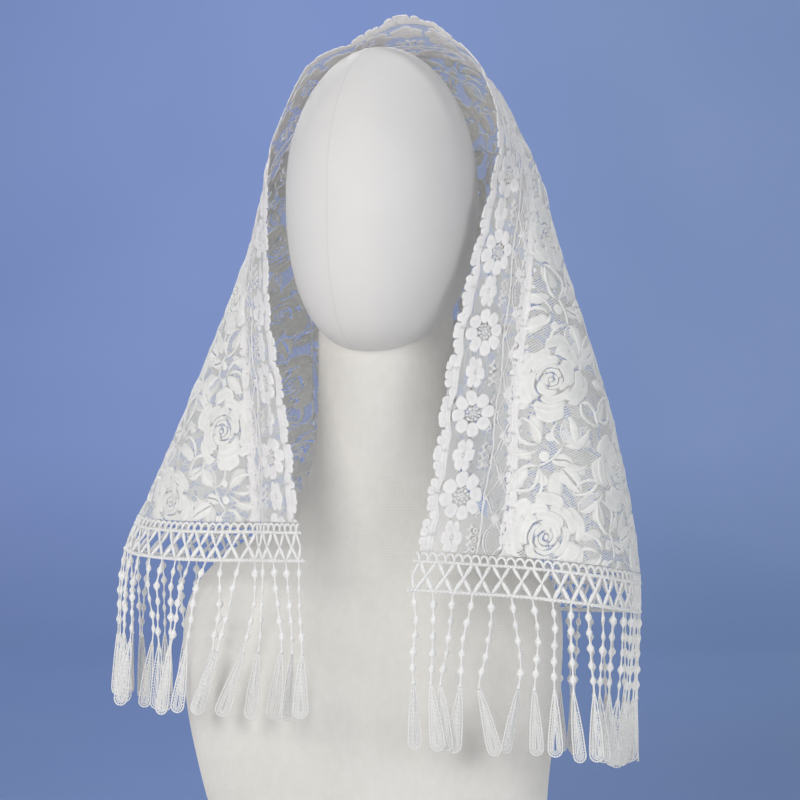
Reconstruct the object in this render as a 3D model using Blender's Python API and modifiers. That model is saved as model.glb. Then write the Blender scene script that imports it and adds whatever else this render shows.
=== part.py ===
"""A rectangular lace shawl worn over the head of a limbless display bust.

Metres, +Z up, the bust's face toward -Y, origin at the middle of the bust's
flat base. The cloth is one rectangle, laid over the crown like a hood: a rose
lace panel, a daisy lace edging sewn along the edge that frames the face, and
on each short end a lattice heading that carries the fringe.

A point of the flat cloth is (s, t): s runs along its length from the crown,
positive to +X, and t runs across its width from the front edge. Polar
directions of the flat cloth, phi = atan2(t, |s|), become the lines along
which the cloth runs down from the crown: over the head as far as a ring where
it leaves the head, and from there nearly straight to its lower boundary.
"""
import bpy
import bmesh
import math
from mathutils import Vector

# ------------------------------------------------------------ cloth sizes
CLOTH_WIDTH = 0.450          # across, front edge to back edge
PANEL_HALF = 0.490           # crown to the seam of an end trim
EDGING_WIDTH = 0.066         # the daisy lace along the front edge
TRIM_HEIGHT = 0.032          # braid and lattice heading
FRINGE_DROP = 0.122          # cords and loop tassels below the heading
FRINGE_REACH = 0.009         # how thick the hanging fringe is
LACE_WALL = 0.0012
TRIM_WALL = 0.0016
SEAM_GAP = 0.0003
SEWN_GAP = 0.0006            # the same gap in the flat cloth, which the drape draws in

# the crown, where the front edge passes over the head
CROWN = Vector((0.014, -0.020, 0.687))
CROWN_SHIFT = 0.014          # the cloth sits this far to +X at the crown
CROWN_SHIFT_LOW = 0.530      # and not at all from this height down
RIM_FALL = 31.0              # degrees the cloth falls back from its free front rim

# where the cloth is drawn in toward the head or stands out from it: place in the
# flat cloth, half-breadth each way, and depth; a negative depth stands out
PINCH_COLUMNS = ("along", "across", "breadth", "spread", "depth")
PINCHES = (
    (-0.170, 0.000, 0.030, 0.034, 0.0013),
    (-0.078, 0.000, 0.022, 0.034, -0.0022),
    (-0.052, 0.000, 0.020, 0.034, 0.0067),
    (-0.026, 0.000, 0.020, 0.034, 0.0091),
    (0.000, 0.000, 0.020, 0.034, 0.0018),
    (0.052, 0.000, 0.020, 0.034, 0.0036),
    (0.165, 0.120, 0.040, 0.065, -0.0140),
)
HEAD_MIDDLE = Vector((0.0, 0.010, 0.560))

# where the front edge swings sideways as it hangs: place in the flat cloth,
# half-breadth each way, and distance toward +X
SWING_COLUMNS = ("along", "across", "breadth", "spread", "sideways")
SWINGS = (
    (0.325, 0.000, 0.105, 0.050, -0.0070),
    (-0.305, 0.000, 0.066, 0.050, -0.0066),
)

# the ring where the cloth leaves the head: a squarish oval in plan
RING_HALF_X = 0.103
RING_HALF_Y = 0.092
RING_CENTRE_Y = 0.035
RING_FRONT_Y = -0.020
RING_POWER = 2.6
RING_UP_FRONT = 0.555
RING_UP_BACK = 0.590
DOME_RUN_FRONT = 0.178       # crown to ring, along the cloth
DOME_RUN_BACK = 0.200
RING_SPREAD = 1.15           # the ring's pace: quicker near the front edge

# lower edge of each end trim, from the front edge round to the back edge
HEM_COLUMNS = ("run", "out", "fore", "up")
HEM = {
    "right": (
        (0.000, 0.047, -0.120, 0.236),
        (0.066, 0.106, -0.094, 0.231),
        (0.120, 0.158, -0.080, 0.226),
        (0.165, 0.1875, -0.054, 0.220),
        (0.210, 0.2022, -0.014, 0.214),
        (0.285, 0.1915, 0.056, 0.208),
        (0.355, 0.158, 0.112, 0.204),
        (0.450, 0.080, 0.148, 0.202),
    ),
    "left": (
        (0.000, 0.030, -0.140, 0.258),
        (0.040, 0.064, -0.113, 0.256),
        (0.080, 0.097, -0.088, 0.254),
        (0.130, 0.142, -0.065, 0.253),
        (0.186, 0.193, -0.032, 0.254),
        (0.230, 0.219, 0.010, 0.256),
        (0.290, 0.216, 0.066, 0.250),
        (0.360, 0.170, 0.116, 0.240),
        (0.450, 0.086, 0.148, 0.232),
    ),
}

# how far the hanging fringe pulls each trim upright, away from its front end
HEM_UPRIGHT = {"right": 1.0, "left": 0.0}
HEM_UPRIGHT_FROM = 0.060
HEM_UPRIGHT_OVER = 0.120

# back edge of the cloth, from the middle to where it meets the end trim
BACK_COLUMNS = ("along", "out", "fore", "up")
BACK_EDGE = (
    (0.000, 0.000, 0.142, 0.338),
    (0.130, 0.034, 0.156, 0.322),
    (0.310, 0.066, 0.162, 0.276),
)

# how far each side bellies out between ring and hem: amount, centre, spread (degrees)
BELLY = {"right": (0.017, 24.0, 20.0), "left": (-0.003, 26.0, 20.0)}

# soft folds running down from the ring: direction, half-breadth (degrees) and
# height at the lower boundary; a ridge is positive and a trough negative
FOLD_COLUMNS = ("phi", "breadth", "height")
FOLDS = {
    "right": (
        (9.5, 2.4, -0.004), (17.0, 2.6, 0.003), (30.0, 3.4, 0.006), (36.5, 3.0, -0.009),
        (46.0, 2.7, 0.018), (51.2, 2.4, -0.020), (56.6, 2.6, 0.024), (62.2, 2.4, -0.023),
        (67.6, 2.4, 0.021), (73.2, 2.4, -0.022), (78.8, 2.6, 0.025), (84.5, 2.4, -0.020),
        (90.0, 2.5, 0.020),
    ),
    "left": (
        (8.0, 2.2, -0.006), (15.5, 2.8, 0.003), (31.0, 3.0, 0.005), (38.0, 3.2, -0.008),
        (46.4, 2.7, 0.020), (51.8, 2.4, -0.021), (57.0, 2.4, 0.019), (62.4, 2.4, -0.022),
        (68.0, 2.6, 0.025), (73.8, 2.4, -0.020), (79.0, 2.4, 0.022), (84.5, 2.4, -0.022),
        (90.0, 2.5, 0.020),
    ),
}
FOLD_EASE = 1.0              # folds die away toward the ring

# ------------------------------------------------------------ bust sizes
HEAD_HALF_X = 0.0760
HEAD_HALF_Y = 0.0950
HEAD_TOP = 0.6620
HEAD_CHIN = 0.4160
HEAD_WIDEST = 0.5450
HEAD_CHIN_LEAN = -0.022      # the chin comes forward of the crown
HEAD_JAW_POWER = 2.3         # the lower half is blunter than an ellipse
NECK_HALF_X = 0.0540
NECK_HALF_Y = 0.0560
NECK_CENTRE_Y = 0.0120
NECK_TOP = 0.4560
FIT_GAP = 0.0003

TORSO_COLUMNS = ("up", "half_x", "half_y", "centre_x", "centre_y", "power")
TORSO = (
    (0.0000, 0.1300, 0.0800, 0.0000, 0.0000, 2.3),
    (0.0300, 0.1320, 0.0820, -0.0020, 0.0010, 2.3),
    (0.0800, 0.1405, 0.0850, -0.0075, 0.0020, 2.3),
    (0.1300, 0.1495, 0.0860, -0.0102, 0.0040, 2.3),
    (0.1800, 0.1540, 0.0850, -0.0105, 0.0060, 2.3),
    (0.2200, 0.1500, 0.0800, -0.0095, 0.0080, 2.3),
    (0.2480, 0.1330, 0.0720, -0.0072, 0.0100, 2.2),
    (0.2700, 0.1045, 0.0660, -0.0048, 0.0120, 2.1),
    (0.2900, 0.0795, 0.0600, -0.0026, 0.0130, 2.0),
    (0.3160, 0.0630, 0.0560, -0.0008, 0.0130, 2.0),
    (0.3500, 0.0560, 0.0560, 0.0000, 0.0120, 2.0),
    (0.4000, 0.0540, 0.0560, 0.0000, 0.0120, 2.0),
    (NECK_TOP, NECK_HALF_X, NECK_HALF_Y, 0.0000, NECK_CENTRE_Y, 2.0),
)
BUST_SIDES = 40

# ------------------------------------------------------------ facets of the cloth
SIDE_FOLDS_FROM = math.radians(18.0)
SIDE_COLUMNS = 15
CORNER_COLUMNS = 10
BACK_COLUMNS_SIDE = 28
PANEL_ROWS = 11

# ------------------------------------------------------------ small maths


def smooth(x):
    x = min(1.0, max(0.0, x))
    return x * x * (3.0 - 2.0 * x)


def through(rows, x):
    """Smooth curve through table rows whose first column is the parameter."""
    n = len(rows)
    k = 0
    while k < n - 2 and x > rows[k + 1][0]:
        k += 1
    x0, x1 = rows[k][0], rows[k + 1][0]
    h = x1 - x0
    u = (x - x0) / h

    def slope(i):
        lo, hi = max(0, i - 1), min(n - 1, i + 1)
        return [(rows[hi][c] - rows[lo][c]) / (rows[hi][0] - rows[lo][0])
                for c in range(1, len(rows[0]))]

    m0, m1 = slope(k), slope(k + 1)
    a = (1 + 2 * u) * (1 - u) ** 2
    b = u * (1 - u) ** 2
    c = u * u * (3 - 2 * u)
    d = u * u * (u - 1)
    return [a * rows[k][i + 1] + b * h * m0[i] + c * rows[k + 1][i + 1] + d * h * m1[i]
            for i in range(len(m0))]


def mirrored_back(rows):
    """The back edge with its mirror rows first, so that it crosses the middle level."""
    return tuple((-r[0], -r[1], r[2], r[3]) for r in rows[:0:-1]) + tuple(rows)


# ------------------------------------------------------------ the drape
RING_START = -math.asin(abs((RING_CENTRE_Y - RING_FRONT_Y) / RING_HALF_Y) ** (RING_POWER / 2.0))


def ring_point(phi):
    """Point of the ring, on the +X side, for a flat direction phi (radians)."""
    q = 1.0 - (1.0 - phi / (math.pi / 2)) ** RING_SPREAD
    angle = RING_START + (math.pi / 2 - RING_START) * q
    e = 2.0 / RING_POWER
    x = RING_HALF_X * abs(math.cos(angle)) ** e
    y = RING_CENTRE_Y + math.copysign(RING_HALF_Y * abs(math.sin(angle)) ** e, angle)
    z = RING_UP_FRONT + (RING_UP_BACK - RING_UP_FRONT) * smooth(q)
    return Vector((x, y, z))


def hem_low(side, t):
    """Lower edge of the end trim, on the +X side."""
    return Vector(through(HEM[side], t))


def hem_up(side, t):
    """Unit direction up the cloth at the end trim."""
    phi = math.atan2(t, PANEL_HALF)
    along = (ring_point(phi) - hem_low(side, t)).normalized()
    upright = HEM_UPRIGHT[side] * smooth((t - HEM_UPRIGHT_FROM) / HEM_UPRIGHT_OVER)
    return along.lerp(Vector((0.0, 0.0, 1.0)), upright).normalized()


def hem_high(side, t):
    """Upper edge of the end trim, where the lace panel ends."""
    return hem_low(side, t) + hem_up(side, t) * TRIM_HEIGHT


def flat_reach(phi):
    """How far the flat panel reaches from the crown in a direction."""
    c, w = math.cos(phi), math.sin(phi)
    return min(PANEL_HALF / c if c > 1e-9 else 9.0, CLOTH_WIDTH / w if w > 1e-9 else 9.0)


def lower_edge(side, phi):
    """The cloth's lower boundary in a direction, on the +X side."""
    corner = math.atan2(CLOTH_WIDTH, PANEL_HALF)
    if phi <= corner:
        return hem_high(side, PANEL_HALF * math.tan(phi))
    s = CLOTH_WIDTH / math.tan(phi)
    end = hem_high(side, CLOTH_WIDTH)
    rows = mirrored_back(BACK_EDGE + ((PANEL_HALF, end.x, end.y, end.z),))
    return Vector(through(rows, s))


def cloth(s, t):
    """Where the flat cloth's point (s, t) lies on the worn shawl."""
    side = "right" if s >= 0 else "left"
    r = math.hypot(s, t)
    if r < 1e-9:
        s = r = 1e-9
    phi = min(math.atan2(t, abs(s)), math.pi / 2)
    mirror = 1.0 if s >= 0 else -1.0
    ring = ring_point(phi)
    low = lower_edge(side, phi)
    reach = flat_reach(phi)
    back = smooth(phi / (math.pi / 2))
    run = DOME_RUN_FRONT + (DOME_RUN_BACK - DOME_RUN_FRONT) * back
    if r >= run:
        f = (r - run) / (reach - run)
        p = ring.lerp(low, f)
    else:
        f = 0.0
        u = r / run
        top = Vector((0.0, CROWN.y, CROWN.z))
        fall = math.radians(RIM_FALL)
        flat = Vector((math.cos(phi), math.sin(phi) * math.cos(fall), -math.sin(phi) * math.sin(fall)))
        down = (low - ring).normalized()
        p = (top * ((1 + 2 * u) * (1 - u) ** 2) + flat * (run * u * (1 - u) ** 2)
             + ring * (u * u * (3 - 2 * u)) + down * (run * u * u * (u - 1)))
    # belly and folds, along the boundary's outward direction in plan
    if f > 0.0:
        step = 0.01
        a = lower_edge(side, max(0.0, phi - step))
        b = lower_edge(side, min(math.pi / 2, phi + step))
        n = Vector((b.y - a.y, a.x - b.x, 0.0))
        n = n.normalized() if n.length > 1e-9 else Vector((0, 1, 0))
        deg = math.degrees(phi)
        amount, centre, spread = BELLY[side]
        push = amount * math.exp(-((deg - centre) / spread) ** 2) * math.sin(math.pi * min(f, 1.0)) ** 0.8
        for c, w, h in FOLDS[side]:
            push += h * math.exp(-((deg - c) / w) ** 2) * min(f, 1.0) ** FOLD_EASE
        p = p + n * push
    p.x *= mirror
    p.x += CROWN_SHIFT * smooth((p.z - CROWN_SHIFT_LOW) / (CROWN.z - CROWN_SHIFT_LOW))
    for along, across, breadth, spread, depth in PINCHES:
        pull = depth * math.exp(-((s - along) / breadth) ** 2 - ((t - across) / spread) ** 2)
        p = p + (HEAD_MIDDLE - p).normalized() * pull
    for along, across, breadth, spread, sideways in SWINGS:
        p.x += sideways * math.exp(-((s - along) / breadth) ** 2 - ((t - across) / spread) ** 2)
    return p


def trim(side, t, d):
    """End trim at run t, a distance d below its upper edge."""
    mirror = 1.0 if side == "right" else -1.0
    top = cloth(mirror * PANEL_HALF, t)
    low = hem_low(side, t)
    high = hem_high(side, t)
    drop = low - high
    drop.x *= mirror
    return top + drop * (d / TRIM_HEIGHT)


# ------------------------------------------------------------ making pieces
def clear_scene():
    for ob in list(bpy.data.objects):
        bpy.data.objects.remove(ob, do_unlink=True)


def material(name, colour, roughness):
    m = bpy.data.materials.new(name)
    m.use_nodes = True
    b = m.node_tree.nodes["Principled BSDF"]
    b.inputs["Base Color"].default_value = (*colour, 1.0)
    b.inputs["Roughness"].default_value = roughness
    b.inputs["Metallic"].default_value = 0.0
    return m


def add_object(name, bm, mat, home):
    me = bpy.data.meshes.new(name)
    bm.to_mesh(me)
    bm.free()
    ob = bpy.data.objects.new(name, me)
    home.objects.link(ob)
    me.materials.append(mat)
    me.shade_smooth()
    me.set_sharp_from_angle(angle=math.radians(40))
    return ob


def sheet(name, rows, wall, mat, home, inside):
    """A grid of surface points thickened into a wall, its faces pointing away
    from a point inside. A row of one point closes the grid in a corner."""
    bm = bmesh.new()
    grid = [[bm.verts.new(p) for p in row] for row in rows]
    for a, b in zip(grid, grid[1:]):
        for j in range(max(len(a), len(b)) - 1):
            if len(a) == 1:
                bm.faces.new((a[0], b[j + 1], b[j]))
            elif len(b) == 1:
                bm.faces.new((a[j], a[j + 1], b[0]))
            else:
                bm.faces.new((a[j], a[j + 1], b[j + 1], b[j]))
    bm.normal_update()
    facing = sum(f.calc_area() * f.normal.dot(f.calc_center_median() - inside) for f in bm.faces)
    if facing < 0:
        bmesh.ops.reverse_faces(bm, faces=bm.faces[:])
    ob = add_object(name, bm, mat, home)
    thick = ob.modifiers.new("wall", "SOLIDIFY")
    thick.thickness = wall
    thick.offset = 0.0
    thick.use_even_offset = True
    thick.use_quality_normals = True
    return ob


def spaced(a, b, n):
    return [a + (b - a) * k / n for k in range(n + 1)]


def loft(name, rings, mat, home):
    """A closed solid through stacked rings of equal point count."""
    bm = bmesh.new()
    loops = [[bm.verts.new(p) for p in ring] for ring in rings]
    n = len(loops[0])
    for a, b in zip(loops, loops[1:]):
        for k in range(n):
            bm.faces.new((a[k], a[(k + 1) % n], b[(k + 1) % n], b[k]))
    bm.faces.new(loops[0][::-1])
    bm.faces.new(loops[-1])
    bmesh.ops.recalc_face_normals(bm, faces=bm.faces[:])
    return add_object(name, bm, mat, home)


def oval(up, half_x, half_y, centre_x, centre_y, power, sides=BUST_SIDES):
    e = 2.0 / power
    pts = []
    for k in range(sides):
        a = 2 * math.pi * k / sides
        c, s = math.cos(a), math.sin(a)
        pts.append(Vector((centre_x + math.copysign(half_x * abs(c) ** e, c),
                           centre_y + math.copysign(half_y * abs(s) ** e, s), up)))
    return pts


def make_torso(mat, home):
    rings = [oval(*row) for row in TORSO]
    return loft("form_torso", rings, mat, home)


def make_head(mat, home, cutters):
    """An egg with its blunt end up, its chin forward, and a socket for the neck."""
    bm = bmesh.new()
    bmesh.ops.create_uvsphere(bm, u_segments=BUST_SIDES, v_segments=22, radius=1.0)
    for v in bm.verts:
        x, y, z = v.co
        if z >= 0:
            up = HEAD_WIDEST + (HEAD_TOP - HEAD_WIDEST) * z
            narrow, lean = 1.0, 0.0
        else:
            up = HEAD_WIDEST + (HEAD_WIDEST - HEAD_CHIN) * z
            narrow = ((1.0 - min(1.0, -z) ** HEAD_JAW_POWER) ** (1.0 / HEAD_JAW_POWER)
                      / max(1e-6, math.sqrt(max(0.0, 1.0 - z * z))))
            lean = HEAD_CHIN_LEAN * z * z
        v.co = Vector((x * HEAD_HALF_X * narrow, y * HEAD_HALF_Y * narrow + lean, up))
    head = add_object("form_head", bm, mat, home)
    bm = bmesh.new()
    bmesh.ops.create_cone(bm, cap_ends=True, segments=BUST_SIDES, radius1=1.0, radius2=1.0, depth=1.0)
    low, high = HEAD_CHIN - 0.04, NECK_TOP + FIT_GAP
    for v in bm.verts:
        v.co = Vector((v.co.x * (NECK_HALF_X + 3 * FIT_GAP),
                       v.co.y * (NECK_HALF_Y + 3 * FIT_GAP) + NECK_CENTRE_Y,
                       (low + high) / 2 + v.co.z * (high - low)))
    me = bpy.data.meshes.new("neck_socket")
    bm.to_mesh(me)
    bm.free()
    socket = bpy.data.objects.new("neck_socket", me)
    cutters.objects.link(socket)
    socket.hide_render = True
    socket.display_type = "WIRE"
    cut = head.modifiers.new("neck_socket", "BOOLEAN")
    cut.operation = "DIFFERENCE"
    cut.object = socket
    return head


def main():
    clear_scene()
    home = bpy.data.collections.new("lace_shawl_on_bust")
    cutters = bpy.data.collections.new("cutters")
    bpy.context.scene.collection.children.link(home)
    bpy.context.scene.collection.children.link(cutters)

    lace = material("rose_lace", (0.88, 0.88, 0.86), 0.75)
    edging = material("daisy_edging", (0.90, 0.89, 0.87), 0.75)
    cord = material("trim_cord", (0.92, 0.91, 0.89), 0.65)
    canvas = material("bust_canvas", (0.72, 0.68, 0.62), 0.85)
    head_white = material("head_cover", (0.84, 0.83, 0.81), 0.5)

    make_torso(canvas, home)
    make_head(head_white, home, cutters)

    # the drape's own directions, as columns shared by both sides of the sewn seam
    end = PANEL_HALF - SEWN_GAP
    seam = EDGING_WIDTH + SEWN_GAP
    first, corner = math.atan2(seam, end), math.atan2(CLOTH_WIDTH, end)
    turn = [math.atan2(seam, s) for s in spaced(end, seam / math.tan(SIDE_FOLDS_FROM), SIDE_COLUMNS)]
    turn += spaced(SIDE_FOLDS_FROM, corner, CORNER_COLUMNS)[1:]
    turn += spaced(corner, math.pi / 2, BACK_COLUMNS_SIDE)[1:]
    inside = Vector((0.0, 0.03, 0.45))

    strips, columns = [], []
    for mirror, phis in ((1.0, turn), (-1.0, turn[-2::-1])):
        for phi in phis:
            along = mirror * seam / math.tan(phi) if phi < math.pi / 2 - 1e-9 else mirror * 1e-7
            strips.append([cloth(along, t) for t in spaced(0.0, EDGING_WIDTH, 3)])
            near = seam / math.sin(phi)
            far = min(end / max(1e-9, math.cos(phi)), CLOTH_WIDTH / math.sin(phi))
            reach = [near] if far - near < 1e-6 else spaced(near, far, PANEL_ROWS)
            columns.append([cloth(mirror * max(1e-7, r * math.cos(phi)), r * math.sin(phi))
                            for r in reach])
    sheet("front_edging", strips, LACE_WALL, edging, home, inside)
    sheet("lace_panel", columns, LACE_WALL, lace, home, inside)

    for side, mirror in (("left", -1.0), ("right", 1.0)):
        runs = spaced(0.0, EDGING_WIDTH, 3) + [PANEL_HALF * math.tan(phi) for phi in turn[1:]
                                               if PANEL_HALF * math.tan(phi) < CLOTH_WIDTH - 0.001] + [CLOTH_WIDTH]
        rows = [[trim(side, t, d) for d in (SEAM_GAP, TRIM_HEIGHT)] for t in runs]
        sheet("end_trim_" + side, rows, TRIM_WALL, cord, home,
              Vector((0.12 * mirror, 0.02, 0.24)))
        rows = []
        for t in runs:
            top = trim(side, t, TRIM_HEIGHT)
            top.z -= SEAM_GAP + 0.0006
            rows.append([top, top - Vector((0, 0, FRINGE_DROP))])
        sheet("fringe_" + side, rows, FRINGE_REACH, cord, home,
              Vector((0.12 * mirror, 0.02, 0.15)))


main()
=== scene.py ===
"""Looks of the lace shawl and its display bust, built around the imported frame.

Metres, +Z up, the bust's face toward -Y. The cloth is one rectangle; a point of
it is (s, t), s along its length from the crown and t across it from the front
edge. Everything sewn or knitted is laid out flat in (s, t) and then carried
onto the worn shape by the same drape as the CAD solids.
"""
import bpy
import bmesh
import math
import numpy as np
from functools import lru_cache
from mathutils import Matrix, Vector


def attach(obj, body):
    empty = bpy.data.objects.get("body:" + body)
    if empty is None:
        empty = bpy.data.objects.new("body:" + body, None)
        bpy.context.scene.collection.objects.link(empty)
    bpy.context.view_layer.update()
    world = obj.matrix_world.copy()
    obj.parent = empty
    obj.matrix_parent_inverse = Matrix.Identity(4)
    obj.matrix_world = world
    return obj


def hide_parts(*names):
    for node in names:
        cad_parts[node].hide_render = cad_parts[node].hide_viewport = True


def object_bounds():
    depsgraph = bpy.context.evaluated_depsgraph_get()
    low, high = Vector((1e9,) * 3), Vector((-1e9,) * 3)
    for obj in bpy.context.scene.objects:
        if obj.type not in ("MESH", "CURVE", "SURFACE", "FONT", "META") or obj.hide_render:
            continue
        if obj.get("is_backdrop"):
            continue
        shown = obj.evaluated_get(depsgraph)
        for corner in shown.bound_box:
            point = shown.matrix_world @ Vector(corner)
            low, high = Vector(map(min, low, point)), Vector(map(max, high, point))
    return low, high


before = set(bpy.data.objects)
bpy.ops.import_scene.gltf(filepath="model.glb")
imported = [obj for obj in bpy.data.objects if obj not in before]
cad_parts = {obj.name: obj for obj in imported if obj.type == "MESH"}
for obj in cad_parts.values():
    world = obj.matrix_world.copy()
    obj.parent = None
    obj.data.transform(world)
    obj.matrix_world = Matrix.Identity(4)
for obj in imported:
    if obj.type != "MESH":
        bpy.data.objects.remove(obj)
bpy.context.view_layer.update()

MM = 0.001

# ------------------------------------------------------------ the drape, as in the CAD
CLOTH_WIDTH = 0.450
PANEL_HALF = 0.490
EDGING_WIDTH = 0.066
TRIM_HEIGHT = 0.032
FRINGE_DROP = 0.122
CROWN = np.array((0.014, -0.020, 0.687))
CROWN_SHIFT = 0.014
CROWN_SHIFT_LOW = 0.530
RIM_FALL = 31.0
# where the cloth is drawn in toward the head or stands out: along, across, half-breadths, depth
PINCHES = (
    (-0.170, 0.000, 0.030, 0.034, 0.0013), (-0.078, 0.000, 0.022, 0.034, -0.0022),
    (-0.052, 0.000, 0.020, 0.034, 0.0067), (-0.026, 0.000, 0.020, 0.034, 0.0091),
    (0.000, 0.000, 0.020, 0.034, 0.0018), (0.052, 0.000, 0.020, 0.034, 0.0036),
    (0.165, 0.120, 0.040, 0.065, -0.0140),
)
HEAD_MIDDLE = np.array((0.0, 0.010, 0.560))
# where the front edge swings sideways: along, across, half-breadths, distance toward +X
SWINGS = ((0.325, 0.000, 0.105, 0.050, -0.0070), (-0.305, 0.000, 0.066, 0.050, -0.0066))
HEM_UPRIGHT = {"right": 1.0, "left": 0.0}
RING_HALF_X = 0.103
RING_HALF_Y = 0.092
RING_CENTRE_Y = 0.035
RING_FRONT_Y = -0.020
RING_POWER = 2.6
RING_UP_FRONT = 0.555
RING_UP_BACK = 0.590
DOME_RUN_FRONT = 0.178
DOME_RUN_BACK = 0.200
RING_SPREAD = 1.15
# lower edge of the end trims: run across the cloth, out, fore, up
HEM = {
    "right": (
        (0.000, 0.047, -0.120, 0.236),
        (0.066, 0.106, -0.094, 0.231),
        (0.120, 0.158, -0.080, 0.226),
        (0.165, 0.1875, -0.054, 0.220),
        (0.210, 0.2022, -0.014, 0.214),
        (0.285, 0.1915, 0.056, 0.208),
        (0.355, 0.158, 0.112, 0.204),
        (0.450, 0.080, 0.148, 0.202),
    ),
    "left": (
        (0.000, 0.030, -0.140, 0.258),
        (0.040, 0.064, -0.113, 0.256),
        (0.080, 0.097, -0.088, 0.254),
        (0.130, 0.142, -0.065, 0.253),
        (0.186, 0.193, -0.032, 0.254),
        (0.230, 0.219, 0.010, 0.256),
        (0.290, 0.216, 0.066, 0.250),
        (0.360, 0.170, 0.116, 0.240),
        (0.450, 0.086, 0.148, 0.232),
    ),
}
BACK_EDGE = ((0.000, 0.000, 0.142, 0.338), (0.130, 0.034, 0.156, 0.322), (0.310, 0.066, 0.162, 0.276))
BELLY = {"right": (0.017, 24.0, 20.0), "left": (-0.003, 26.0, 20.0)}
# folds: direction, half-breadth (degrees), height at the lower boundary
FOLDS = {
    "right": (
        (9.5, 2.4, -0.004), (17.0, 2.6, 0.003), (30.0, 3.4, 0.006), (36.5, 3.0, -0.009),
        (46.0, 2.7, 0.018), (51.2, 2.4, -0.020), (56.6, 2.6, 0.024), (62.2, 2.4, -0.023),
        (67.6, 2.4, 0.021), (73.2, 2.4, -0.022), (78.8, 2.6, 0.025), (84.5, 2.4, -0.020),
        (90.0, 2.5, 0.020),
    ),
    "left": (
        (8.0, 2.2, -0.006), (15.5, 2.8, 0.003), (31.0, 3.0, 0.005), (38.0, 3.2, -0.008),
        (46.4, 2.7, 0.020), (51.8, 2.4, -0.021), (57.0, 2.4, 0.019), (62.4, 2.4, -0.022),
        (68.0, 2.6, 0.025), (73.8, 2.4, -0.020), (79.0, 2.4, 0.022), (84.5, 2.4, -0.022),
        (90.0, 2.5, 0.020),
    ),
}
FOLD_EASE = 1.0
RING_START = -math.asin(abs((RING_CENTRE_Y - RING_FRONT_Y) / RING_HALF_Y) ** (RING_POWER / 2.0))

# small creases laid on the drape: middle (s, t), way it runs (degrees from the
# length), half-length, half-breadth, height
CREASE_COLUMNS = ("s", "t", "way", "half_length", "half_breadth", "height")
CREASES = (
    (0.330, 0.072, 4, 0.110, 0.0050, -0.0016), (0.400, 0.060, -3, 0.080, 0.0045, 0.0013),
    (0.250, 0.118, 12, 0.080, 0.0070, 0.0022), (0.300, 0.150, 20, 0.085, 0.0080, -0.0022),
    (0.430, 0.145, 8, 0.055, 0.0070, 0.0020), (0.440, 0.205, 24, 0.050, 0.0080, -0.0024),
    (0.200, 0.045, -6, 0.060, 0.0055, 0.0016), (0.150, 0.090, 30, 0.060, 0.0070, 0.0018),
    (0.462, 0.095, -14, 0.030, 0.0050, 0.0014), (0.380, 0.225, 32, 0.070, 0.0080, 0.0024),
    (-0.330, 0.056, 2, 0.120, 0.0045, 0.0022), (-0.360, 0.038, 3, 0.100, 0.0042, -0.0020),
    (-0.400, 0.020, 0, 0.080, 0.0045, 0.0018), (-0.250, 0.080, -9, 0.080, 0.0060, -0.0018),
    (-0.380, 0.130, -16, 0.080, 0.0075, 0.0022), (-0.440, 0.165, -8, 0.050, 0.0070, -0.0020),
    (-0.200, 0.120, -26, 0.060, 0.0070, 0.0018), (-0.300, 0.190, -30, 0.080, 0.0085, 0.0024),
    (-0.090, 0.100, -60, 0.060, 0.0080, 0.0014), (0.060, 0.120, 66, 0.070, 0.0090, 0.0015),
    (0.020, 0.180, 88, 0.060, 0.0090, -0.0016), (-0.120, 0.200, -62, 0.070, 0.0090, 0.0018),
    (0.240, 0.330, 50, 0.080, 0.0080, 0.0022), (-0.260, 0.350, -52, 0.080, 0.0080, -0.0022),
    (0.100, 0.360, 74, 0.060, 0.0070, 0.0020), (-0.060, 0.380, -82, 0.060, 0.0070, 0.0020),
)


def smooth(x):
    x = np.clip(x, 0.0, 1.0)
    return x * x * (3.0 - 2.0 * x)


def unit(v):
    return v / np.maximum(np.linalg.norm(v, axis=-1, keepdims=True), 1e-12)


def through(rows, x):
    """Smooth curve through table rows whose first column is the parameter."""
    rows, x = np.array(rows, float), np.asarray(x, float)
    n = len(rows)
    k = np.searchsorted(rows[1:n - 1, 0], x, side="left")
    lo, hi = np.maximum(np.arange(n) - 1, 0), np.minimum(np.arange(n) + 1, n - 1)
    slope = (rows[hi, 1:] - rows[lo, 1:]) / (rows[hi, 0] - rows[lo, 0])[:, None]
    h = rows[k + 1, 0] - rows[k, 0]
    u = (x - rows[k, 0]) / h
    a, b = (1 + 2 * u) * (1 - u) ** 2, u * (1 - u) ** 2 * h
    c, d = u * u * (3 - 2 * u), u * u * (u - 1) * h
    return (a[..., None] * rows[k, 1:] + b[..., None] * slope[k]
            + c[..., None] * rows[k + 1, 1:] + d[..., None] * slope[k + 1])


def ring_point(phi):
    q = 1.0 - np.maximum(0.0, 1.0 - phi / (math.pi / 2)) ** RING_SPREAD
    angle = RING_START + (math.pi / 2 - RING_START) * q
    e = 2.0 / RING_POWER
    return np.stack([RING_HALF_X * np.abs(np.cos(angle)) ** e,
                     RING_CENTRE_Y + np.sign(angle) * RING_HALF_Y * np.abs(np.sin(angle)) ** e,
                     RING_UP_FRONT + (RING_UP_BACK - RING_UP_FRONT) * smooth(q)], -1)


def hem_low(side, t):
    return through(HEM[side], t)


def hem_high(side, t):
    low = hem_low(side, t)
    along = unit(ring_point(np.arctan2(t, PANEL_HALF)) - low)
    upright = (HEM_UPRIGHT[side] * smooth((t - 0.060) / 0.120))[..., None]
    return low + unit(along * (1 - upright) + np.array((0.0, 0.0, 1.0)) * upright) * TRIM_HEIGHT


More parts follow.
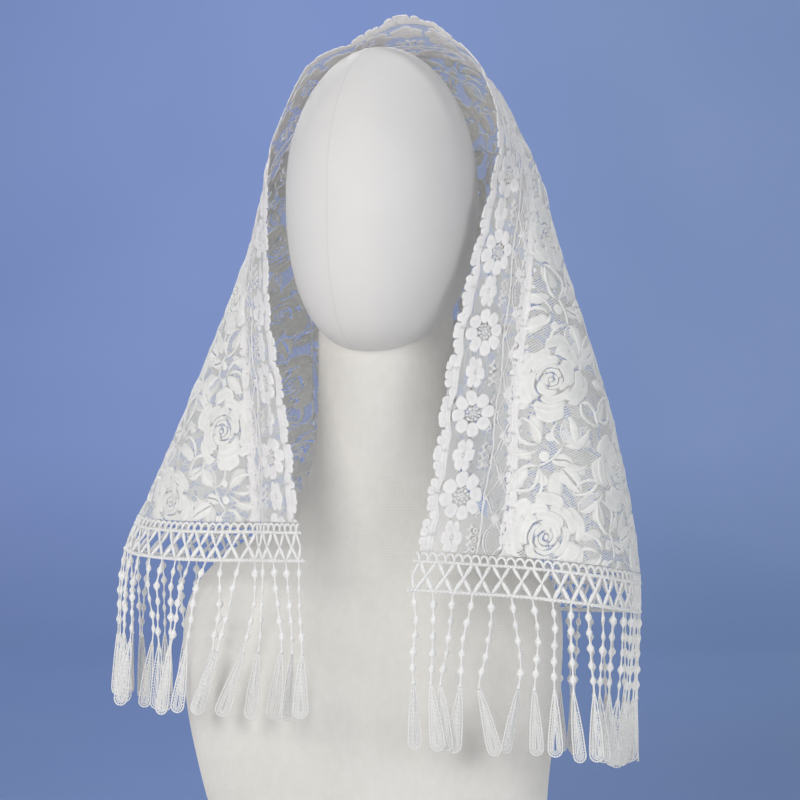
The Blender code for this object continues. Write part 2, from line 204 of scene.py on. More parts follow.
def lower_edge(side, phi):
    corner = math.atan2(CLOTH_WIDTH, PANEL_HALF)
    end = hem_high(side, np.array([CLOTH_WIDTH]))[0]
    back = BACK_EDGE + ((PANEL_HALF, *end),)
    rows = tuple((-r[0], -r[1], r[2], r[3]) for r in back[:0:-1]) + tuple(back)
    a = hem_high(side, PANEL_HALF * np.tan(np.minimum(phi, corner)))
    b = through(rows, CLOTH_WIDTH / np.tan(np.maximum(phi, corner * 0.9)))
    return np.where((phi <= corner)[..., None], a, b)


def worn(side, s, t):
    """One half of the cloth, s positive, before it is mirrored."""
    s = np.where(np.hypot(s, t) < 1e-9, 1e-9, s)
    r = np.hypot(s, t)
    phi = np.minimum(np.arctan2(t, s), math.pi / 2)
    ring, low = ring_point(phi), lower_edge(side, phi)
    reach = np.minimum(PANEL_HALF / np.maximum(np.cos(phi), 1e-9), CLOTH_WIDTH / np.maximum(np.sin(phi), 1e-9))
    run = DOME_RUN_FRONT + (DOME_RUN_BACK - DOME_RUN_FRONT) * smooth(phi / (math.pi / 2))
    f = np.maximum(0.0, (r - run) / (reach - run))
    u, rn = np.minimum(1.0, r / run)[:, None], run[:, None]
    fall = math.radians(RIM_FALL)
    flat = np.stack([np.cos(phi), np.sin(phi) * math.cos(fall), -np.sin(phi) * math.sin(fall)], -1)
    top = np.array((0.0, CROWN[1], CROWN[2]))
    dome = (top * ((1 + 2 * u) * (1 - u) ** 2) + flat * (rn * u * (1 - u) ** 2)
            + ring * (u * u * (3 - 2 * u)) + unit(low - ring) * (rn * u * u * (u - 1)))
    p = np.where((r >= run)[:, None], ring + (low - ring) * f[:, None], dome)
    step = 0.01
    a = lower_edge(side, np.maximum(0.0, phi - step))
    b = lower_edge(side, np.minimum(math.pi / 2, phi + step))
    n = unit(np.stack([b[:, 1] - a[:, 1], a[:, 0] - b[:, 0], np.zeros(len(s))], -1))
    deg, g = np.degrees(phi), np.minimum(f, 1.0)
    amount, centre, spread = BELLY[side]
    push = amount * np.exp(-((deg - centre) / spread) ** 2) * np.sin(math.pi * g) ** 0.8
    for c, w, h in FOLDS[side]:
        push = push + h * np.exp(-((deg - c) / w) ** 2) * g ** FOLD_EASE
    return p + n * push[:, None]


def drape(s, t):
    """Where the flat cloth's points lie on the worn shawl."""
    s, t = np.broadcast_arrays(np.asarray(s, float), np.asarray(t, float))
    shape = s.shape
    s, t = s.ravel(), t.ravel()
    p = np.zeros((len(s), 3))
    for side, mirror in (("right", 1.0), ("left", -1.0)):
        m = s >= 0 if side == "right" else s < 0
        if m.any():
            q = worn(side, np.abs(s[m]), t[m])
            q[:, 0] *= mirror
            p[m] = q
    p[:, 0] += CROWN_SHIFT * smooth((p[:, 2] - CROWN_SHIFT_LOW) / (CROWN[2] - CROWN_SHIFT_LOW))
    for along, across, breadth, spread, depth in PINCHES:
        pull = depth * np.exp(-((s - along) / breadth) ** 2 - ((t - across) / spread) ** 2)
        p = p + unit(HEAD_MIDDLE - p) * pull[:, None]
    for along, across, breadth, spread, sideways in SWINGS:
        p[:, 0] += sideways * np.exp(-((s - along) / breadth) ** 2 - ((t - across) / spread) ** 2)
    return p.reshape(*shape, 3)


def ripple(x, y, seed):
    """Slow uneven waves from a few sines, the same every run."""
    rng = np.random.default_rng(seed)
    out = 0.0
    for k in range(7):
        a, f, ph = rng.uniform(0, 2 * math.pi), rng.uniform(14, 46), rng.uniform(0, 2 * math.pi)
        out = out + np.sin(2 * math.pi * f * (x * math.cos(a) + y * math.sin(a)) + ph) / 7
    return out


class Worn:
    """The draped cloth sampled on a fine grid, with its outward normals."""
    S0, S1, T0, T1 = -PANEL_HALF - 0.001, PANEL_HALF + 0.001, -0.002, CLOTH_WIDTH + 0.002

    def __init__(self):
        self.ns, self.nt = 821, 379
        s = np.linspace(self.S0, self.S1, self.ns)
        t = np.linspace(self.T0, self.T1, self.nt)
        S, T = np.meshgrid(s, t, indexing="ij")
        cs, ct = np.clip(S, -PANEL_HALF, PANEL_HALF), np.clip(T, 0.0, CLOTH_WIDTH)
        P = drape(cs, ct)
        ds = (drape(cs[[0, -1]] - np.array([[-1e-3], [1e-3]]), ct[[0, -1]]) - P[[0, -1]]) / 1e-3
        P[0] += ds[0] * (S[0] - cs[0])[:, None]
        P[-1] += ds[1] * (cs[-1] - S[-1])[:, None]
        gs, gt = np.gradient(P, axis=0), np.gradient(P, axis=1)
        gt[:, :2], gt[:, -2:] = gt[:, 4:5], gt[:, -5:-4]
        P = P + gt / (t[1] - t[0]) * (T - ct)[..., None]
        N = unit(np.cross(gs, gt))
        out = P - np.array((0.0, 0.03, 0.45))
        if (N * out).sum() < 0:
            N = -N
        for _ in range(3):
            N[1:-1, 1:-1] = unit(N[1:-1, 1:-1] * 2 + N[:-2, 1:-1] + N[2:, 1:-1] + N[1:-1, :-2] + N[1:-1, 2:])
        lift = np.zeros(S.shape)
        for cs_, ct_, way, hl, hb, h in CREASES:
            a = math.radians(way)
            u = (S - cs_) * math.cos(a) + (T - ct_) * math.sin(a)
            v = -(S - cs_) * math.sin(a) + (T - ct_) * math.cos(a)
            v = v + 0.0025 * np.sin(u * 60 + way)
            lift += h * np.exp(-(v / hb) ** 2) * smooth(1.6 - 1.6 * np.abs(u) / hl)
        lift += 0.0011 * ripple(S, T, 5) + 0.0005 * ripple(S * 2.3, T * 2.3, 6)
        # the seam of the edging draws the cloth in a little, unevenly
        lift += -0.0009 * np.exp(-((T - EDGING_WIDTH) / 0.0035) ** 2) * (1 + 0.5 * np.sin(S * 240) * np.sin(S * 71))
        self.P = P + N * lift[..., None]
        gs, gt = np.gradient(self.P, axis=0), np.gradient(self.P, axis=1)
        M = unit(np.cross(gs, gt))
        if (M * N).sum() < 0:
            M = -M
        self.N = M
        self.lift = lift

    def __call__(self, s, t, h=0.0):
        s, t = np.asarray(s, float), np.asarray(t, float)
        x = np.clip((s - self.S0) / (self.S1 - self.S0) * (self.ns - 1), 0, self.ns - 1.001)
        y = np.clip((t - self.T0) / (self.T1 - self.T0) * (self.nt - 1), 0, self.nt - 1.001)
        i, j = x.astype(int), y.astype(int)
        u, v = (x - i)[..., None], (y - j)[..., None]

        def mix(A):
            return (A[i, j] * (1 - u) * (1 - v) + A[i + 1, j] * u * (1 - v)
                    + A[i, j + 1] * (1 - u) * v + A[i + 1, j + 1] * u * v)

        return mix(self.P) + unit(mix(self.N)) * np.asarray(h, float)[..., None]

    def normal(self, s, t):
        s, t = np.asarray(s, float), np.asarray(t, float)
        x = np.clip((s - self.S0) / (self.S1 - self.S0) * (self.ns - 1), 0, self.ns - 1.001).astype(int)
        y = np.clip((t - self.T0) / (self.T1 - self.T0) * (self.nt - 1), 0, self.nt - 1.001).astype(int)
        return self.N[x, y]


WORN = Worn()


def hem(side, t, d, h=0.0):
    """The end trim at run t, a distance d below its upper edge, h outward."""
    t = np.asarray(t, float)
    mirror = 1.0 if side == "right" else -1.0
    s = np.full(t.shape, mirror * PANEL_HALF)
    top = WORN(s, t)
    drop = hem_low(side, np.clip(t, 0, CLOTH_WIDTH)) - hem_high(side, np.clip(t, 0, CLOTH_WIDTH))
    drop[..., 0] *= mirror
    e = 0.002
    a, b = WORN(s, np.clip(t - e, 0, 1)), WORN(s, np.clip(t + e, 0, CLOTH_WIDTH))
    n = unit(np.cross(b - a, drop)) * -mirror
    return top + drop * (np.asarray(d, float) / TRIM_HEIGHT)[..., None] + n * np.asarray(h, float)[..., None]


def hem_out(side, t):
    """Outward direction of the end trim, flat in plan."""
    t = np.asarray(t, float)
    a, b = hem(side, t - 0.003, 0.0 * t + TRIM_HEIGHT), hem(side, t + 0.003, 0.0 * t + TRIM_HEIGHT)
    run = b - a
    n = np.stack([-run[..., 1], run[..., 0], 0 * run[..., 0]], -1) * (-1.0 if side == "right" else 1.0)
    return unit(n)


# ------------------------------------------------------------ gathering meshes
@lru_cache(None)
def slab_faces(m, n):
    idx = np.arange(m * n).reshape(m, n)
    a, b, c, d = idx[:-1, :-1].ravel(), idx[1:, :-1].ravel(), idx[1:, 1:].ravel(), idx[:-1, 1:].ravel()
    loop = np.concatenate([idx[:, 0], idx[-1, 1:], idx[-2::-1, -1], idx[0, -2:0:-1]])
    after, k = np.roll(loop, -1), m * n
    return np.concatenate([np.stack([a, b, c, d], 1), np.stack([a, d, c, b], 1) + k,
                           np.stack([loop, loop + k, after + k, after], 1)])


class Pile:
    """Points and four-sided faces gathered for one mesh."""

    def __init__(self):
        self.v, self.f, self.flat, self.tone, self.sharp, self.n = [], [], [], [], [], 0

    def add(self, verts, faces, flat, tone, sharp=False):
        verts = np.asarray(verts, float).reshape(-1, 3)
        self.v.append(verts)
        self.f.append(np.asarray(faces).reshape(-1, 4) + self.n)
        self.sharp.append(np.broadcast_to(np.asarray(sharp, bool), (len(self.f[-1]),)))
        self.flat.append(np.broadcast_to(np.asarray(flat, float), (len(verts), 3)))
        self.tone.append(np.broadcast_to(np.asarray(tone, float), (len(verts),)))
        self.n += len(verts)

    def mesh(self, name, mat, node=None):
        v, f = np.concatenate(self.v), np.concatenate(self.f)
        flat, tone = np.concatenate(self.flat), np.concatenate(self.tone)
        me = bpy.data.meshes.new(name)
        me.vertices.add(len(v))
        me.vertices.foreach_set("co", v.astype(np.float32).ravel())
        me.loops.add(f.size)
        me.loops.foreach_set("vertex_index", f.astype(np.int32).ravel())
        me.polygons.add(len(f))
        me.polygons.foreach_set("loop_start", np.arange(0, f.size, 4, dtype=np.int32))
        me.update(calc_edges=True)
        me.attributes.new("flat", "FLOAT_VECTOR", "POINT").data.foreach_set("vector", flat.astype(np.float32).ravel())
        me.attributes.new("tone", "FLOAT", "POINT").data.foreach_set("value", tone.astype(np.float32))
        me.polygons.foreach_set("use_smooth", ~np.concatenate(self.sharp))
        ob = bpy.data.objects.new(name, me)
        bpy.context.scene.collection.objects.link(ob)
        me.materials.append(mat)
        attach(ob, "root")
        if node:
            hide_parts(node)
        return ob


class Flat:
    """Shapes laid out on the flat cloth, with a record of what they cover."""
    STEP = 0.0005
    covered = np.zeros((int(0.996 / 0.0005), int(0.464 / 0.0005)), bool)
    s_at, t_at = -0.498, -0.007

    def __init__(self, s_range, t_range):
        self.lo = np.array((s_range[0], t_range[0]))
        self.hi = np.array((s_range[1], t_range[1]))
        self.g, self.h, self.f, self.tone, self.side, self.n = [], [], [], [], [], 0

    @classmethod
    def cover(cls, grid):
        m, n = grid.shape[:2]
        du = np.linalg.norm(np.diff(grid, axis=0), axis=-1).sum(0).max()
        dv = np.linalg.norm(np.diff(grid, axis=1), axis=-1).sum(1).max()
        ku, kv = int(du / 0.0004) + 2, int(dv / 0.0004) + 2
        x, y = np.linspace(0, m - 1.0001, ku), np.linspace(0, n - 1.0001, kv)
        i, j = x.astype(int), y.astype(int)
        u, v = (x - i)[:, None, None], (y - j)[None, :, None]
        I, J = i[:, None], j[None, :]
        p = (grid[I, J] * (1 - u) * (1 - v) + grid[I + 1, J] * u * (1 - v)
             + grid[I, J + 1] * (1 - u) * v + grid[I + 1, J + 1] * u * v)
        a = ((p[..., 0] - cls.s_at) / cls.STEP).astype(int).clip(0, cls.covered.shape[0] - 1)
        b = ((p[..., 1] - cls.t_at) / cls.STEP).astype(int).clip(0, cls.covered.shape[1] - 1)
        cls.covered[a, b] = True

    @classmethod
    def close(cls, cells=2):
        """Count the narrow slits between neighbouring shapes as covered: no net crosses them."""
        def grow(a):
            b = a.copy()
            b[1:] |= a[:-1]
            b[:-1] |= a[1:]
            b[:, 1:] |= a[:, :-1]
            b[:, :-1] |= a[:, 1:]
            return b
        c = cls.covered
        for _ in range(cells):
            c = grow(c)
        for _ in range(cells):
            c = ~grow(~c)
        cls.covered = c

    @classmethod
    def is_covered(cls, s, t):
        a = ((s - cls.s_at) / cls.STEP).astype(int).clip(0, cls.covered.shape[0] - 1)
        b = ((t - cls.t_at) / cls.STEP).astype(int).clip(0, cls.covered.shape[1] - 1)
        return cls.covered[a, b]

    def slab(self, grid, top, low=-0.00022, tone=1.0, cover=True):
        """A thin closed plate whose outline is the grid's edge."""
        grid = np.asarray(grid, float)
        mid = grid.mean((0, 1))
        if (mid < self.lo - 0.004).any() or (mid > self.hi + 0.004).any():
            return
        grid = np.clip(grid, self.lo, self.hi)
        span = grid.max((0, 1)) - grid.min((0, 1))
        if min(span) < 0.0006:
            return
        m, n = grid.shape[:2]
        top = np.broadcast_to(np.asarray(top, float), (m, n))
        tone = np.broadcast_to(np.asarray(tone, float), (m, n))
        e0, e1 = grid[1:, :-1] - grid[:-1, :-1], grid[:-1, 1:] - grid[:-1, :-1]
        area = (e0[..., 0] * e1[..., 1] - e0[..., 1] * e1[..., 0]).sum()
        if area * WORN_HAND < 0:
            grid, top, tone = grid[::-1], top[::-1], tone[::-1]
        if cover:
            Flat.cover(grid)
        self.g.append(np.concatenate([grid.reshape(-1, 2)] * 2))
        self.h.append(np.concatenate([top.ravel(), np.full(m * n, low)]))
        self.tone.append(np.concatenate([tone.ravel()] * 2))
        self.f.append(slab_faces(m, n) + self.n)
        self.side.append(np.arange(len(self.f[-1])) >= 2 * (m - 1) * (n - 1))
        self.n += 2 * m * n

    def onto(self, pile):
        if not self.g:
            return
        g = np.concatenate(self.g)
        p = WORN(g[:, 0], g[:, 1], np.concatenate(self.h))
        f = np.concatenate(self.f)
        # drop faces that a clipped edge has shrunk to nothing
        d1, d2 = p[f[:, 2]] - p[f[:, 0]], p[f[:, 3]] - p[f[:, 1]]
        kept = np.linalg.norm(np.cross(d1, d2), axis=1) > 1e-10
        pile.add(p, f[kept], np.concatenate([g, np.zeros((len(g), 1))], 1), np.concatenate(self.tone),
                 np.concatenate(self.side)[kept])


_gs, _gt = np.gradient(WORN.P, axis=0)[::9, ::9], np.gradient(WORN.P, axis=1)[::9, ::9]
WORN_HAND = 1.0 if (np.cross(_gs, _gt) * WORN.N[::9, ::9]).sum() > 0 else -1.0


def ribbons(pile, lines, width, h, tone=0.6):
    """Flat threads along flat lines, each an array of (s, t) points."""
    lines = [x for x in lines if len(x) > 1]
    if not lines:
        return
    size = np.array([len(x) for x in lines])
    p = np.concatenate(lines)
    start = np.concatenate([[0], np.cumsum(size)[:-1]])
    first = np.zeros(len(p), bool); first[start] = True
    last = np.zeros(len(p), bool); last[start + size - 1] = True
    fwd = np.where(last[:, None], p - np.roll(p, 1, 0), np.roll(p, -1, 0) - p)
    bwd = np.where(first[:, None], fwd, p - np.roll(p, 1, 0))
    d = unit(unit(fwd) + unit(bwd))
    side = np.stack([-d[:, 1], d[:, 0]], 1) * width / 2
    a, b = p + side, p - side
    q = np.stack([a, b], 1).reshape(-1, 2)
    v = WORN(q[:, 0], q[:, 1], np.full(len(q), h))
    k = np.where(~last)[0] * 2
    f = np.stack([k, k + 1, k + 3, k + 2], 1)
    if WORN_HAND < 0:
        f = f[:, ::-1]
    pile.add(v, f, np.concatenate([q, np.zeros((len(q), 1))], 1), tone)


def net(pile, s_range, t_range, angle, pitch, width, h, tone=0.5, long=0.0042, wander=0.0):
    """One family of a net's threads, drawn only where nothing covers them."""
    a = math.radians(angle)
    d, n = np.array((math.cos(a), math.sin(a))), np.array((-math.sin(a), math.cos(a)))
    box = np.array([(s, t) for s in s_range for t in t_range])
    k0, k1 = (box @ n).min(), (box @ n).max()
    step, lines = 0.0005, []
    for k in np.arange(math.ceil(k0 / pitch), math.floor(k1 / pitch) + 1):
        lo, hi = -1e9, 1e9
        for c, (u0, u1) in enumerate((s_range, t_range)):
            x = sorted(((u0 - k * pitch * n[c]) / d[c], (u1 - k * pitch * n[c]) / d[c]))
            lo, hi = max(lo, x[0]), min(hi, x[1])
        if hi - lo < 0.001:
            continue
        u = np.arange(lo, hi, step)
        s, t = u * d[0] + k * pitch * n[0], u * d[1] + k * pitch * n[1]
        open_ = ~Flat.is_covered(s, t)
        edge = np.diff(np.concatenate([[0], open_.astype(int), [0]]))
        for i, j in zip(np.where(edge == 1)[0], np.where(edge == -1)[0]):
            e0, e1 = max(lo, u[i] - 0.0006), min(hi, u[j - 1] + 0.0006)
            if e1 - e0 < 0.0010:
                continue
            x = np.linspace(e0, e1, max(2, int(math.ceil((e1 - e0) / long)) + 1))
            lines.append(np.stack([x * d[0] + k * pitch * n[0], x * d[1] + k * pitch * n[1]], 1))
    ribbons(pile, lines, width, h, tone)


def sweep(pile, path, out, half, thick, sides=6, tone=1.0, twist=0.0, start=0.0):
    """A closed rod along world points; half and thick are its radii across and outward."""
    path, k = np.asarray(path, float), len(path)
    out = np.broadcast_to(np.asarray(out, float), (k, 3))
    half, thick = np.broadcast_to(half, (k,)), np.broadcast_to(thick, (k,))
    d = np.empty_like(path)
    d[1:-1], d[0], d[-1] = path[2:] - path[:-2], path[1] - path[0], path[-1] - path[-2]
    d = unit(d)
    n = unit(out - (out * d).sum(1, keepdims=True) * d)
    b = np.cross(d, n)
    a = np.arange(sides) * 2 * math.pi / sides + math.pi / sides
    run = start + np.concatenate([[0], np.cumsum(np.linalg.norm(np.diff(path, axis=0), axis=1))])
    v = (path[:, None] + b[:, None] * (half[:, None] * np.cos(a))[..., None]
         + n[:, None] * (thick[:, None] * np.sin(a))[..., None])
    i = np.arange(k * sides).reshape(k, sides)
    j = np.roll(i, -1, 1)
    f = np.stack([i[:-1], j[:-1], j[1:], i[1:]], -1).reshape(-1, 4)
    c0, c1 = i[0], i[-1]
    caps = []
    for q in range(1, sides - 2, 2):
        caps.append((c0[0], c0[q + 2], c0[q + 1], c0[q]))
        caps.append((c1[0], c1[q], c1[q + 1], c1[q + 2]))
    flat = np.stack([np.broadcast_to(run[:, None], (k, sides)),
                     np.broadcast_to(a / (2 * math.pi) * 0.004, (k, sides)),
                     np.full((k, sides), 0.0)], -1).reshape(-1, 3)
    pile.add(v.reshape(-1, 3), np.concatenate([f, np.array(caps)]), flat,
             np.repeat(np.broadcast_to(tone, (k,)), sides))


def ring(pile, centre, across, up, out, r_across, r_up, rod, turns=12, sides=4, tone=1.0, a0=0.0, a1=2 * math.pi):
    """A small loop of cord, closed unless a0 and a1 say less."""
    a = np.linspace(a0, a1, turns + 1)
    path = (np.asarray(centre) + np.outer(np.cos(a) * r_across, across) + np.outer(np.sin(a) * r_up, up))
    sweep(pile, path, out, rod, rod, sides, tone)


# ------------------------------------------------------------ materials
def new_material(name):
    m = bpy.data.materials.new(name)
    m.use_nodes = True
    nt = m.node_tree
    return m, nt, nt.nodes["Principled BSDF"]


def node(nt, kind, **values):
    n = nt.nodes.new(kind)
    for k, v in values.items():
        if k in n.inputs:
            n.inputs[k].default_value = v
        else:
            setattr(n, k, v)
    return n


def link(nt, a, b):
    nt.links.new(a, b)


def mix_colour(nt, fac, a, b):
    n = nt.nodes.new("ShaderNodeMix")
    n.data_type = "RGBA"
    n.inputs[6].default_value, n.inputs[7].default_value = (*a, 1), (*b, 1)
    if fac is not None:
        link(nt, fac, n.inputs[0])
    return n


def ramp(nt, source, x0, x1, y0=0.0, y1=1.0):
    n = nt.nodes.new("ShaderNodeMapRange")
    for i, v in enumerate((x0, x1, y0, y1)):
        n.inputs[i + 1].default_value = v
    link(nt, source, n.inputs[0])
    return n.outputs[0]


def knitted(name, light, shade, rough, pitch, depth, sheen=0.25):
    """Close white knitting: a fine ribbed surface, a little uneven in colour."""
    m, nt, b = new_material(name)
    flat = node(nt, "ShaderNodeAttribute", attribute_name="flat")
    tone = node(nt, "ShaderNodeAttribute", attribute_name="tone")
    noise = node(nt, "ShaderNodeTexNoise", Scale=120.0, Detail=6.0, Roughness=0.65)
    link(nt, flat.outputs["Vector"], noise.inputs["Vector"])
    add = node(nt, "ShaderNodeMath", operation="MULTIPLY_ADD")
    link(nt, noise.outputs["Fac"], add.inputs[0])
    add.inputs[1].default_value = 1.1
    link(nt, tone.outputs["Fac"], add.inputs[2])
    fac = ramp(nt, add.outputs[0], 0.85, 1.70)
    col = mix_colour(nt, fac, shade, light)
    link(nt, col.outputs[2], b.inputs["Base Color"])
    waves = []
    for k, (dx, dy) in enumerate(((1.0, 0.75), (-1.0, 0.75))):
        mp = node(nt, "ShaderNodeMapping")
        mp.inputs["Scale"].default_value = (dx, dy, 0.0)
        link(nt, flat.outputs["Vector"], mp.inputs["Vector"])
        w = node(nt, "ShaderNodeTexWave", Scale=1.0 / pitch / 20 * 6.2832, Distortion=0.6, Detail=1.0)
        w.bands_direction = "DIAGONAL"
        link(nt, mp.outputs[0], w.inputs["Vector"])
        waves.append(w)
    both = node(nt, "ShaderNodeMath", operation="MAXIMUM")
    link(nt, waves[0].outputs["Fac"], both.inputs[0])
    link(nt, waves[1].outputs["Fac"], both.inputs[1])
    crumple = node(nt, "ShaderNodeTexNoise", Scale=330.0, Detail=3.0, Roughness=0.6)
    link(nt, flat.outputs["Vector"], crumple.inputs["Vector"])
    uneven = node(nt, "ShaderNodeMath", operation="MULTIPLY_ADD")
    link(nt, crumple.outputs["Fac"], uneven.inputs[0])
    uneven.inputs[1].default_value = 3.0
    link(nt, both.outputs[0], uneven.inputs[2])
    bump = node(nt, "ShaderNodeBump", Strength=0.60, Distance=depth)
    link(nt, uneven.outputs[0], bump.inputs["Height"])
    link(nt, bump.outputs[0], b.inputs["Normal"])
    rr = ramp(nt, noise.outputs["Fac"], 0.3, 0.7, rough - 0.08, rough + 0.08)
    link(nt, rr, b.inputs["Roughness"])
    b.inputs["Sheen Weight"].default_value = sheen
    b.inputs["Sheen Roughness"].default_value = 0.4
    b.inputs["Specular IOR Level"].default_value = 0.35
    return m


def corded(name, light, shade, rough, twist, depth):
    """Two-ply white cord: slanting plies along its length, with painted shade in the grooves between them."""
    m, nt, b = new_material(name)
    flat = node(nt, "ShaderNodeAttribute", attribute_name="flat")
    tone = node(nt, "ShaderNodeAttribute", attribute_name="tone")
    w = node(nt, "ShaderNodeTexWave", Scale=1.0 / twist / 20 * 6.2832, Distortion=0.3, Detail=1.0)
    w.bands_direction = "DIAGONAL"
    link(nt, flat.outputs["Vector"], w.inputs["Vector"])
    noise = node(nt, "ShaderNodeTexNoise", Scale=140.0, Detail=2.0)
    link(nt, flat.outputs["Vector"], noise.inputs["Vector"])
    # painted shade: the colour takes the same ply wave as the bump, so the grooves between the plies are painted darker
    add = node(nt, "ShaderNodeMath", operation="MULTIPLY_ADD")
    link(nt, w.outputs["Fac"], add.inputs[0])
    add.inputs[1].default_value = 0.35
    link(nt, tone.outputs["Fac"], add.inputs[2])
    fac = ramp(nt, add.outputs[0], 0.35, 1.2)
    col = mix_colour(nt, fac, shade, light)
    link(nt, col.outputs[2], b.inputs["Base Color"])
    bump = node(nt, "ShaderNodeBump", Strength=0.5, Distance=depth)
    link(nt, w.outputs["Fac"], bump.inputs["Height"])
    link(nt, bump.outputs[0], b.inputs["Normal"])
    rr = ramp(nt, noise.outputs["Fac"], 0.3, 0.7, rough - 0.06, rough + 0.08)
    link(nt, rr, b.inputs["Roughness"])
    b.inputs["Sheen Weight"].default_value = 0.2
    b.inputs["Specular IOR Level"].default_value = 0.4
    return m


def gauze(name, light, shade, alpha):
    """The finest threads of the ground, as a nearly clear film."""
    m, nt, b = new_material(name)
    flat = node(nt, "ShaderNodeAttribute", attribute_name="flat")
    noise = node(nt, "ShaderNodeTexNoise", Scale=60.0, Detail=3.0)
    link(nt, flat.outputs["Vector"], noise.inputs["Vector"])
    col = mix_colour(nt, ramp(nt, noise.outputs["Fac"], 0.35, 0.65), shade, light)
    link(nt, col.outputs[2], b.inputs["Base Color"])
    b.inputs["Roughness"].default_value = 0.85
    b.inputs["Specular IOR Level"].default_value = 0.1
    b.inputs["Alpha"].default_value = alpha
    return m


def head_cloth():
    """Smooth off-white stretch cover with one faint seam down the face."""
    m, nt, b = new_material("head_stretch_cover")
    geo = node(nt, "ShaderNodeTexCoord")
    sep = nt.nodes.new("ShaderNodeSeparateXYZ")
    link(nt, geo.outputs["Object"], sep.inputs[0])
    side = node(nt, "ShaderNodeVectorMath", operation="DOT_PRODUCT")
    link(nt, geo.outputs["Object"], side.inputs[0])
    side.inputs[1].default_value = (math.cos(math.radians(15)), -math.sin(math.radians(15)), 0.0)
    off = node(nt, "ShaderNodeMath", operation="ABSOLUTE")
    link(nt, side.outputs["Value"], off.inputs[0])
    near = ramp(nt, off.outputs[0], 0.0003, 0.0011, 1.0, 0.0)
    seam = node(nt, "ShaderNodeMath", operation="MULTIPLY")
    link(nt, near, seam.inputs[0])
    link(nt, ramp(nt, sep.outputs["Y"], -0.02, 0.0, 1.0, 0.0), seam.inputs[1])
    noise = node(nt, "ShaderNodeTexNoise", Scale=9.0, Detail=4.0)
    link(nt, geo.outputs["Object"], noise.inputs["Vector"])
    base = mix_colour(nt, ramp(nt, noise.outputs["Fac"], 0.3, 0.7), (0.715, 0.70, 0.685), (0.77, 0.755, 0.74))
    line = nt.nodes.new("ShaderNodeMix")
    line.data_type = "RGBA"
    line.inputs[7].default_value = (0.66, 0.65, 0.64, 1)
    link(nt, ramp(nt, seam.outputs[0], 0.0, 1.0, 0.0, 0.50), line.inputs[0])
    link(nt, base.outputs[2], line.inputs[6])
    link(nt, line.outputs[2], b.inputs["Base Color"])
    waves = []
    for axis in ("X", "Z"):
        w = node(nt, "ShaderNodeTexWave", Scale=449.0, Distortion=0.8, Detail=1.0)
        w.bands_direction = axis
        link(nt, geo.outputs["Object"], w.inputs["Vector"])
        waves.append(w)
    both = node(nt, "ShaderNodeMath", operation="ADD")
    link(nt, waves[0].outputs["Fac"], both.inputs[0])
    link(nt, waves[1].outputs["Fac"], both.inputs[1])
    sub = node(nt, "ShaderNodeMath", operation="MULTIPLY_ADD")
    link(nt, seam.outputs[0], sub.inputs[0])
    sub.inputs[1].default_value = -5.0
    link(nt, both.outputs[0], sub.inputs[2])
    bump = node(nt, "ShaderNodeBump", Strength=0.16, Distance=0.00035)
    link(nt, sub.outputs[0], bump.inputs["Height"])
    link(nt, bump.outputs[0], b.inputs["Normal"])
    link(nt, ramp(nt, noise.outputs["Fac"], 0.3, 0.7, 0.50, 0.60), b.inputs["Roughness"])
    b.inputs["Sheen Weight"].default_value = 0.15
    b.inputs["Specular IOR Level"].default_value = 0.3
    return m


def canvas_cloth():
    """Cream canvas: a plain weave with slubs and slow mottling."""
    m, nt, b = new_material("bust_canvas_weave")
    geo = node(nt, "ShaderNodeTexCoord")
    big = node(nt, "ShaderNodeTexNoise", Scale=7.0, Detail=4.0)
    slub = node(nt, "ShaderNodeTexNoise", Scale=160.0, Detail=2.0)
    mp = node(nt, "ShaderNodeMapping")
    mp.inputs["Scale"].default_value = (1.0, 1.0, 0.6)
    link(nt, geo.outputs["Object"], mp.inputs["Vector"])
    link(nt, mp.outputs[0], slub.inputs["Vector"])
    link(nt, geo.outputs["Object"], big.inputs["Vector"])
    add = node(nt, "ShaderNodeMath", operation="MULTIPLY_ADD")
    link(nt, slub.outputs["Fac"], add.inputs[0])
    add.inputs[1].default_value = 0.35
    link(nt, big.outputs["Fac"], add.inputs[2])
    base = mix_colour(nt, ramp(nt, add.outputs[0], 0.45, 0.85), (0.74, 0.72, 0.675), (0.82, 0.80, 0.765))
    link(nt, base.outputs[2], b.inputs["Base Color"])
    waves = []
    for axis in ("X", "Z"):
        w = node(nt, "ShaderNodeTexWave", Scale=262.0, Distortion=1.2, Detail=1.0)
        w.bands_direction = axis
        link(nt, geo.outputs["Object"], w.inputs["Vector"])
        waves.append(w)
    both = node(nt, "ShaderNodeMath", operation="ADD")
    link(nt, waves[0].outputs["Fac"], both.inputs[0])
    link(nt, waves[1].outputs["Fac"], both.inputs[1])
    bump = node(nt, "ShaderNodeBump", Strength=0.30, Distance=0.0005)
    link(nt, both.outputs[0], bump.inputs["Height"])
    link(nt, bump.outputs[0], b.inputs["Normal"])
    link(nt, ramp(nt, slub.outputs["Fac"], 0.3, 0.7, 0.82, 0.94), b.inputs["Roughness"])
    b.inputs["Sheen Weight"].default_value = 0.1
    b.inputs["Specular IOR Level"].default_value = 0.2
    return m


LACE = knitted("rose_lace_knit", (0.945, 0.94, 0.905), (0.75, 0.745, 0.72), 0.66, 0.0009, 0.00014)
DAISY = knitted("daisy_lace_knit", (0.94, 0.92, 0.91), (0.73, 0.715, 0.715), 0.62, 0.0008, 0.00014)
THREAD = corded("net_thread", (0.90, 0.90, 0.89), (0.76, 0.76, 0.76), 0.6, 0.0009, 0.00005)
CORD = corded("trim_cord_twist", (0.92, 0.915, 0.90), (0.72, 0.715, 0.70), 0.6, 0.0016, 0.00025)
GAUZE = gauze("gauze_ground", (0.88, 0.88, 0.88), (0.80, 0.80, 0.81), 0.05)
HEAD = head_cloth()
CANVAS = canvas_cloth()


